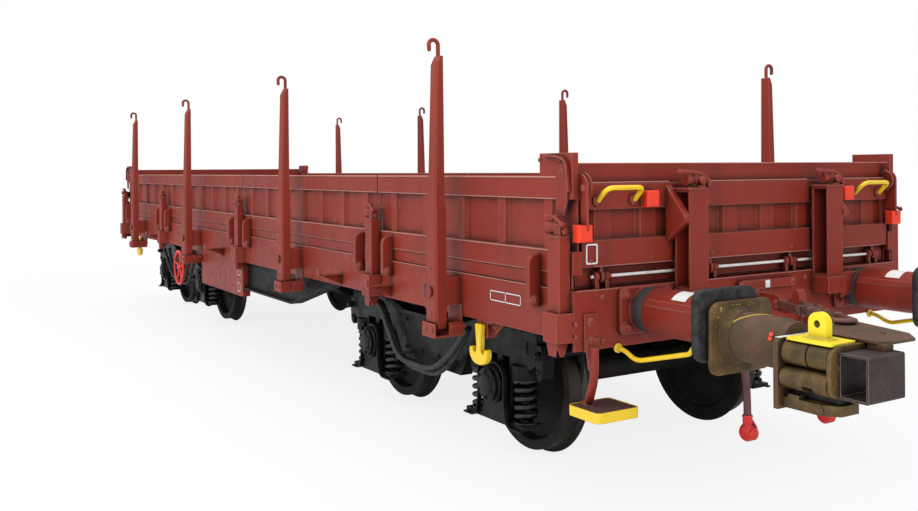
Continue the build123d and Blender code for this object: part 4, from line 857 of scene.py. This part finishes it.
# ---------------- steps, handwheels, tow hooks
STEP_LOW, STEP_TOP = 520, 575
irons, trays, mats = Shape(), Shape(), Shape()
for end, side, face in ((1, -1, NEAR_X), (-1, 1, FAR_X)):
    at(face, side * 1245, RAIL, end, side)
    irons.box(0, 10, -45, 45, HEAD_LOW - 5, 1065)
    irons.bolts(grid((10,), (0,), (HEAD_LOW + 50, HEAD_LOW + 150)), ALONG, 17, 14)
    irons.cross_plate([(-45, HEAD_LOW + 60), (45, HEAD_LOW + 60), (24, HEAD_LOW - 100), (-24, HEAD_LOW - 100)], 10,
        22)
    irons.tube(rounded([(34, 0, HEAD_LOW + 20), (34, 0, HEAD_LOW - 140), (-75, -40, 560)], 160, 8), 24, 18)
    irons.turned((-75, -40, 562), UP, ((0, 40), (12, 38), (30, 26)), 20)
    at(face + end * 2, side * 1160, RAIL, end, side)
    outer = rounded_box(0, 0, 262, 285, 34, 5)
    inner = rounded_box(0, 0, 246, 269, 26, 5)
    trays.loft([[(a, b, z) for a, b in ring] for ring, z in ((outer, STEP_LOW), (outer, STEP_TOP), (inner, STEP_TOP),
        (inner, STEP_LOW + 12))], closed=True)
    trays.loft([[(a * 0.99, b * 0.99, z) for a, b in inner] for z in (STEP_LOW + 2, STEP_LOW + 14)])
    mats.loft([[(a * s, b * s, z) for a, b in inner] for s, z in ((0.995, STEP_LOW + 13), (0.995, STEP_TOP - 6),
        (0.98, STEP_TOP - 3))])
piece("step_hangers", irons, replaces=["step_irons"])
piece("step_trays", trays, "yellow", replaces=["step_treads"])
piece("step_mats", mats, "yellow", bevel=0, paint="step_tread")

WHEEL_X, WHEEL_Y, WHEEL_Z = MID_X - 2270, 1396, 680
wheels, mounts = Shape(), Shape()
for side in SIDES:
    at(WHEEL_X, 0, RAIL + WHEEL_Z, 1, side)
    wheels.tube([(a, WHEEL_Y, b) for a, b in arc(0, 0, 194, steps=48)[:-1]], 16, 10, closed=True)
    for c, s in arc(0, 0, 1, 90, 378, 4):
        wheels.tube([(r * c, WHEEL_Y - back, r * s) for r, back in ((25, 12), (90, 14), (190, 0))], 12.5, 8)
    wheels.turned((0, WHEEL_Y - 30, 0), ACROSS, ((0, 24), (10, 34), (30, 34), (40, 24), (52, 16)), 20)
    mounts.rod((0, WHEEL_Y - 20, 0), (0, 1270, 0), 16, 14)
    mounts.box(-40, 40, 1350, 1360, -40, 320)
    mounts.turned((0, 1345, 0), ACROSS, ((0, 34), (22, 34), (30, 24)), 20)
    mounts.bolts(grid((0,), (1360,), (260, 300)), ACROSS, 12, 10)
piece("brake_handwheels", wheels, "signal_red", bevel=0, replaces=["handwheels"])
piece("handwheel_mounts", mounts, "signal_red", paint="wagon_red")

TOW_HALF = ((0, 0), (36, 0), (34, -30), (26, -90), (22, -140), (30, -168), (46, -176), (60, -168), (68, -146),
    (96, -142), (102, -168), (94, -200), (70, -226), (35, -240), (0, -243))
anchors, brackets = Shape(), Shape()
for x, side in both_sides((MID_X + HALF_L - 900, MID_X - HALF_L + 900)):
    at(x, 0, SOLE[0].z, 1, side)
    outline = TOW_HALF + tuple((-a, b) for a, b in reversed(TOW_HALF[1:-1]))
    anchors.side_plate([(a, b - 18) for a, b in outline], 1343, 1381)
    brackets.box(-50, 50, 1270, 1345, -100, 0)
    brackets.box(-55, 100, 1280, 1348, -12, 1)
    brackets.side_plate([(50, -100), (50, 0), (160, 0), (160, -20)], 1300, 1312)
    brackets.bolts(grid((70, 85), (1312,), (-30,)), ACROSS, 9, 8)
piece("tow_anchors", anchors, "yellow", bevel=9, replaces=["tow_hooks"])
piece("tow_brackets", brackets, bevel=3, replaces=["tow_hook_brackets"])

# ---------------- blank signs, number panels' rims
LINE, INK = 6, 1.5
signs, rims = Shape(), Shape()


def border(x0, x1, y, z0, z1, divided=False):
    """A painted border on a side, with a line down its middle if divided."""
    strips = [(x0, x1, z0, z0 + LINE), (x0, x1, z1 - LINE, z1), (x0, x0 + LINE, z0, z1), (x1 - LINE, x1, z0, z1)]
    if divided:
        strips.append(((x0 + x1) / 2, (x0 + x1) / 2 + LINE, z0, z1))
    for a0, a1, b0, b1 in strips:
        signs.box(a0, a1, y, y + INK, b0, b1)


for end, face in ENDS:
    at(face + end * END_BOARD, 0, RAIL, end, end)
    outer = rounded_box(-1215, 1372, 78, 108, 10, 4)
    inner = rounded_box(-1215, 1372, 60, 90, 6, 4)
    signs.loft([[(x, a, b) for a, b in ring] for ring, x in ((outer, 0), (outer, 3), (inner, 3), (inner, 0))],
        closed=True)
    at(face, end=end)
    signs.box(34.5, 35.5, 45, 85, 1110, 1154)
low, high = PANEL
for side in SIDES:
    at(side=side)
    border(4180, 4500, SOLE_Y, 1055, 1115, divided=True)
    for z in (660, 820):
        border(high.x - 145, high.x - 60, high.y, z - 45, z + 45)
    at(z=0, side=side)
    rims.box(low.x, high.x, high.y - 1, high.y + 4, low.z, low.z + 10)
    rims.box(high.x - 4, high.x + 22, high.y - 75, high.y + 2, low.z, high.z)
    rims.box(low.x - 10, low.x + 4, high.y - 75, high.y + 2, low.z, high.z)
    rims.bolts(grid((low.x + 50, high.x - 50), (high.y,), (high.z - 20,)), ACROSS, 9, 7)
piece("blank_signs", signs, bevel=0, paint="plate_white")
piece("panel_rims", rims)

# ---------------- boards' edges, painted shade plates at the ends, painted highlight lines along the edges, straps and bolts
# painted highlight: thin rods of lighter paint along the edges of the boards, rails and sole bars, where light catches
# them
SIDE_HIGHLIGHTS = (  # inset from the posts, height, how far out, radius
    (12, 1778, 0, 5.5), (12, 1663, 0, 3.4), (60, 1386, 0, 4.5), (55, 1272, 0, 2.2),
    (55, 1184, 5, 3.4))
END_HIGHLIGHTS = (  # out from the end board, from, to, height, radius
    (0, -1300, 1300, 1849, 2.6), (0, -1200, 1200, 1305, 2.6), (-0.5, -1250, -665, 1747, 3.4),
    (-0.5, -485, 485, 1747, 3.4), (-0.5, 665, 1250, 1747, 3.4),
    (-END_BOARD, -1330, 1330, HEAD[1].z - RAIL - 1, 2.6))
angles, gap_fill_shade, highlight_rods, straps, ribs, heads = [Shape() for n in range(6)]
angle_low, angle_top = SOLE[1].z + 4, FLOOR[1].z + 4
for side in SIDES:
    at(z=0, side=side)
    angles.box(FAR_X + 30, NEAR_X - 30, 1326, 1339, angle_low, angle_top)
    for x in [MID_X + 550 * n for n in range(-9, 10)]:
        if all(abs(x - p) >= 160 for p in POST_XS + STAKE_XS):
            ribs.box(x - 4, x + 4, 1262, 1343, SOLE[0].z + 22, SOLE[1].z - 22)
    at(side=side)
    for a, b in zip(POST_XS[:-1], POST_XS[1:]):
        for inset, z, out, radius in SIDE_HIGHLIGHTS:
            highlight_rods.rod((a + inset, BOARD_Y + out, z), (b - inset, BOARD_Y + out, z), radius, 8)
        heads.bolts(grid((a + 90, b - 90), (BOARD_Y + 0.2,), (1310, 1440, 1560)), ACROSS, 10, 7, False)
    for post in POST_XS[1:-1]:
        straps.box(post - 35, post + 35, 1278.5, 1286.5, FLOOR[1].z - RAIL + 20, 1776)
        straps.bolts(grid((post - 24,), (1278.5,), (1360, 1550, 1720)), (0, -1, 0), 8, 3, False)
for end, face in ENDS:
    at(face, 0, 0, end)
    angles.box(-92, -78, -1330, 1330, angle_low, angle_top)
    # painted shade: a plate that closes the gap between the floor and the end board, standing in for the shade in that
    # gap
    gap_fill_shade.box(-76, -68, -1290, 1290, FLOOR[1].z - 60, FLOOR[1].z + 46)
    at(face + end * END_BOARD, end=end)
    for x, y0, y1, z, radius in END_HIGHLIGHTS:
        highlight_rods.rod((x, y0, z), (x, y1, z), radius, 8)
    heads.bolts(grid((-0.5,), (-1220, -800, -340, 0, 340, 800, 1220), (1335,)), ALONG, 10, 8)
piece("floor_edge_angles", angles)
piece("floor_end_shade_plates", gap_fill_shade, bevel=1)
piece("board_joint_straps", straps, bevel=1)
piece("board_highlight_lines", highlight_rods, bevel=0, paint="highlight_paint_red")
piece("sole_bar_ribs", ribs, bevel=1)
piece("board_bolts", heads, bevel=0)

# ---------------- bogies
COIL_TURNS = 4.5
COIL_STEPS = 81
SEAT = ((0, 80), (12, 80), (16, 50))
GUARD = ((90, 135), (150, 90), (150, -130), (185, SPRING_LOW - 30 - AXLE_Z), (330, SPRING_LOW - 30 - AXLE_Z))


def coil(shape, radius, turns, start, inset, wire, count):
    """A helix between the spring's seats, whose own place is the middle of its axis."""
    rise = SPRING_TOP - SPRING_LOW - 2 * inset
    line = arc(0, 0, radius, start, start + 360 * turns, COIL_STEPS)
    shape.tube([(a, b, SPRING_LOW + inset + rise * n / COIL_STEPS) for n, (a, b) in enumerate(line)], wire, count)


for number, end in ((1, 1), (2, -1)):
    body = f"bogie_{number}"
    pivot = MID_X + end * PIVOT_X
    springs, guards, trims, pipes = [Shape() for n in range(4)]
    for side in SIDES:
        for axle in (pivot - AXLE_X, pivot + AXLE_X):
            for hand in HANDS:
                at(axle + hand * 245, side * 1000, 0)
                coil(springs, 62, COIL_TURNS, math.degrees(0.8 if hand > 0 else 2.4), 16, 17.5, 9)
                coil(springs, 30, -COIL_TURNS - 2, 0, 10, 8, 6)
                springs.turned((0, 0, SPRING_LOW - 2), UP, SEAT, 24)
                springs.turned((0, 0, SPRING_TOP + 2), DOWN, SEAT, 24)
                at(axle, 0, AXLE_Z, hand, side)
                guards.strap(rounded([(x, 1095, z) for x, z in GUARD], 60, 6), 30, 12, ACROSS)
                trims.bolt((100, 1088, 100), ACROSS, 12, 12)
            trims.turned((0, 1124, 0), ACROSS, ((0, 106), (12, 106), (16, 98), (16, 74), (24, 70), (28, 58),
                (30, 30)), 40)
            trims.bolts([(a, 1139, b) for a, b in arc(0, 0, 87, 30, 330, 5)], ACROSS, 11, 12, False)
            trims.turned((0, 1085, 0), ACROSS, ((0, 122), (20, 122), (32, 112)), 40)
        at(pivot, 0, RAIL, end, side)
        trims.bolts(grid((-360, -120, 120, 360), (1046,), (700, 500)), ACROSS, 13, 12)
        trims.box(-420, 420, 1045, 1080, 755, 780)
        for y, low, shift in ((1100, 385, 0), (1150, 430, 50)):
            line = rounded([(shift - 800, y, 800), (shift - 660, y, 800), (shift - 520, y, 620), (-300, y, low),
                (220, y, low), (500, y, 600), (640 + shift, y, 780)], 160, 8)
            pipes.tube(line, 19, 12)
            for share in (0.22, 0.5, 0.8):
                pipes.ball(line[int(share * (len(line) - 1))], 26, 12)
        for x in (-300, 220):
            pipes.rod((x, 1045, 470), (x, 1165, 455), 12, 10)
        for hand in HANDS:
            at(pivot + hand * 1315, 0, RAIL, hand, side)
            guards.side_plate([(-100, 775), (55, 760), (75, 700), (60, 560), (20, 540), (0, 660), (-100, 690)], 955,
                1045)
            guards.rod((45, 600, 700), (45, 1070, 700), 26, 16)
            guards.rod((40, 720, 700), (30, 720, 440), 14, 10)
            guards.bolt((45, 1070, 700), ACROSS, 20, 16)
            guards.bolt((30, 1045, 600), ACROSS, 14, 12)
    piece(f"{body}_coils", springs, "bogie_black", body, 0, [f"{body}_springs"], "spring_black", sharp=50)
    piece(f"{body}_guards", guards, "bogie_black", body, 2)
    piece(f"{body}_covers", trims, "bogie_black", body, 1.5)
    piece(f"{body}_pipes", pipes, "bogie_black", body, 0, paint="black_rubber")

# ---------------- coupling adapter
TUBE_Y, TUBE_Z = -830, BUFFER_Z - 57  # the adapter's tube
PAD_X, PAD_Y = 5629, -808  # the pad's outer face and middle
PLATE_X = 5985  # back of the upright plate at the tube's end
J0, J1 = PLATE_X + 28, 6285  # the jaw's length
X1 = NEAR_X + 1450  # the box's open end
at(PAD_X, TUBE_Y, RAIL + TUBE_Z)
pad, barrel, marks, tag = [Shape() for n in range(4)]
pad.turned((-3, 0, 0), ALONG, ((0, 137), (10, 137), (16, 131), (50, 126)), 40)
barrel.turned((0, 0, 0), ALONG, ((0, 122), (295, 119.5), (306, 112), (318, 106), (344, 106), (356, 112)), 44)
barrel.tube([(31, a, b) for a, b in arc(0, 0, 122.5, steps=36)[:-1]], 6, 8, closed=True)
rings = []
for degrees in range(70, 169, 5):
    turn = math.radians(degrees)
    out = Vector((0, math.cos(turn), math.sin(turn)))
    spot = out * 122.2 + Vector((96 + 75 * math.cos(math.radians((degrees - 70) * 1.9)), 0, 0))
    rings.append([spot + Vector((x, 0, 0)) - out * deep for x, deep in ((-9, 3), (9, 3), (6.3, 0), (-6.3, 0))])
marks.loft(rings)
for start in (148, 158):
    line = arc(0, 0, 121.5, start, start + 8, 2)
    tag.cross_plate(line + [(a * 0.96, b * 0.96) for a, b in reversed(line)], 281, 303)
for n in range(46):
    y = PAD_Y - TUBE_Y + DICE.uniform(-190, 120)
    z = DICE.uniform(-20, 160)
    if math.hypot(y, z) >= 147:
        marks.turned((0, y, z), ALONG, ((0, DICE.uniform(3, 7)), (2, 2)), 7)
at(PAD_X - 23, PAD_Y, RAIL + TUBE_Z - 8)
pad.stack(rounded_box(0, 2, 430, 355, 60, 8), ((0, 0.97), (4, 1), (18, 1), (24, 0.96)))
piece("adapter_pad", pad, "adapter_rust", bevel=3, paint="adapter_ochre")
piece("adapter_barrel", barrel, "adapter_rust")
piece("adapter_mark", tag, "adapter_rust", bevel=0, paint="orange_red")
piece("adapter_chalk", marks, "adapter_rust", bevel=0, paint="chalk_yellow")

plate, trim, hollow = Shape(), Shape(), Shape()
at()
plate.cross_plate([(-1000, 745), (-670, 745), (-670, 1060), (-985, 1060), (-1000, 1045)], PLATE_X + 1, PLATE_X + 27)
trim.box(PLATE_X + 1, PLATE_X + 27, -985, -670, 1060.5, 1063)
piece("adapter_end_plate", plate, "adapter_rust", replaces=["adapter_tube"])
piece("adapter_plate_edge", trim, "adapter_rust", bevel=0.5, paint="bright_steel")

jaw = Shape()
for x0, x1 in ((J0 + 4, J0 + 135), (J0 + 141, J1 - 24)):
    jaw.loft([[(x, a * s - 930, b * s + 998) for a, b in rounded_box(0, 0, 112, 112, 52, 8)] for x, s
        in ((x0, 0.94), (x0 + 4, 1), (x1 - 4, 1), (x1, 0.94))])
low_roll = [(-900, 938)] + arc(-948, 888, 50, 90, 262, 10) + [(-900, 838)]
for x0, x1, low in ((J0 + 4, J0 + 120, 0), (J0 + 180, J1 - 22, 0), (J0 + 118, J0 + 182, 868)):
    jaw.cross_plate([(a, max(b, low)) for a, b in low_roll], x0, x1)
jaw.cross_plate([(-700, 836), (-940, 836)] + arc(-940, 884, 48, 270, 180, 6) + arc(-925, 995, 63, 180, 90)
    + [(-700, 1058)], J1 - 21, J1 + 1)
jaw.prism([(J0, -970, 754), (J1 - 70, -970, 754), (J1, -915, 754), (J1, -800, 754), (J0, -800, 754)], (0, 0, 46))
jaw.box(J0, J1 - 20, -800, -700, 800, 1055)
jaw.turned((J1 + 1, -915, 965), ALONG, ((0, 28), (5, 28), (7, 22)), 24)
jaw.box(J0 + 125, J0 + 172, -985, -900, 878, 915)
jaw.box(J0 + 30, J0 + 90, -971, -930, 800, 818)
jaw.bolt((J0 + 200, -970, 778), (0, -1, 0), 13, 10)
jaw.box(J1 - 21, J1 + 1, -840, -700, 800, 840)
hollow.box(J0 + 6, J1 - 22, -900, -802, 801, 968)
piece("adapter_jaw_rolls", jaw, "adapter_ochre", bevel=3.5, replaces=["adapter_jaw"])
piece("adapter_jaw_shade", hollow, "adapter_ochre", paint="black_rubber")

BOX_RIGHT, BOX_LEFT = -940, -694
BOX_LOW, BOX_TOP = 837, 1034
X0 = J1 + 1  # the box's end at the jaw
shell, flat = Shape(), Shape()
outer = [(X0 + 6, BOX_LOW), (X1 - 6, BOX_LOW), (X1, BOX_LOW + 6), (X1, BOX_TOP - 6), (X1 - 6, BOX_TOP),
    (X0 + 6, BOX_TOP), (X0, BOX_TOP - 6), (X0, BOX_LOW + 6)]
inner = [(X0 + 12, BOX_LOW + 12), (X1 - 12, BOX_LOW + 12), (X1 - 12, BOX_LOW + 14), (X1 - 12, BOX_TOP - 14),
    (X1 - 12, BOX_TOP - 12), (X0 + 12, BOX_TOP - 12), (X0 + 12, BOX_TOP - 14), (X0 + 12, BOX_LOW + 14)]
shell.loft([[(x, y, z) for x, z in ring] for ring, y in ((outer, BOX_RIGHT), (outer, BOX_LEFT), (inner, BOX_LEFT),
    (inner, BOX_RIGHT))], closed=True)
flat_line = ((J0 - 60, -655), (J0 + 60, -770), (J1 + 60, -770), (J1 + 110, -700), (J1 + 110, -560), (J1 + 20, -470),
    (J0 - 60, -380))
flat.prism([(x, y, 1060.2) for x, y in flat_line], (0, 0, 13.8))
flat.box(J1 + 12, J1 + 100, -760, -700, BOX_TOP, 1061)
flat.bolts(((J0 + 20, -620, 1074), (J0 + 250, -600, 1074)), UP, 14, 12)
piece("adapter_box_shell", shell, "adapter_box_grey", bevel=1.5, replaces=["adapter_box"])
piece("adapter_flat", flat, "adapter_box_grey", bevel=3, paint="adapter_rust")

eye = Shape()
at(J0 + 135, 0, RAIL + 1067)
eye.loft([[(a, b, z) for a, b in rounded_box(0, -880, 245, 172, 14, 4)] for z in (-11.8, 0)])
arch = [(47.5, -1)] + arc(0, 70, 47.5, 0, 180, 14) + [(-47.5, -1)]
hole = [(4, 49)] + arc(0, 66, 17, -76, 256, len(arch) - 3) + [(-4, 49)]
eye.loft([[(a, y, b) for a, b in ring] for ring, y in ((arch, -902), (arch, -860), (hole, -860), (hole, -902))],
    closed=True)
eye.strap([(-68, -881, 2), (68, -881, 2)], 62, 6, ACROSS)
piece("lifting_eye_body", eye, "bright_yellow", bevel=4, replaces=["adapter_lifting_eye"])
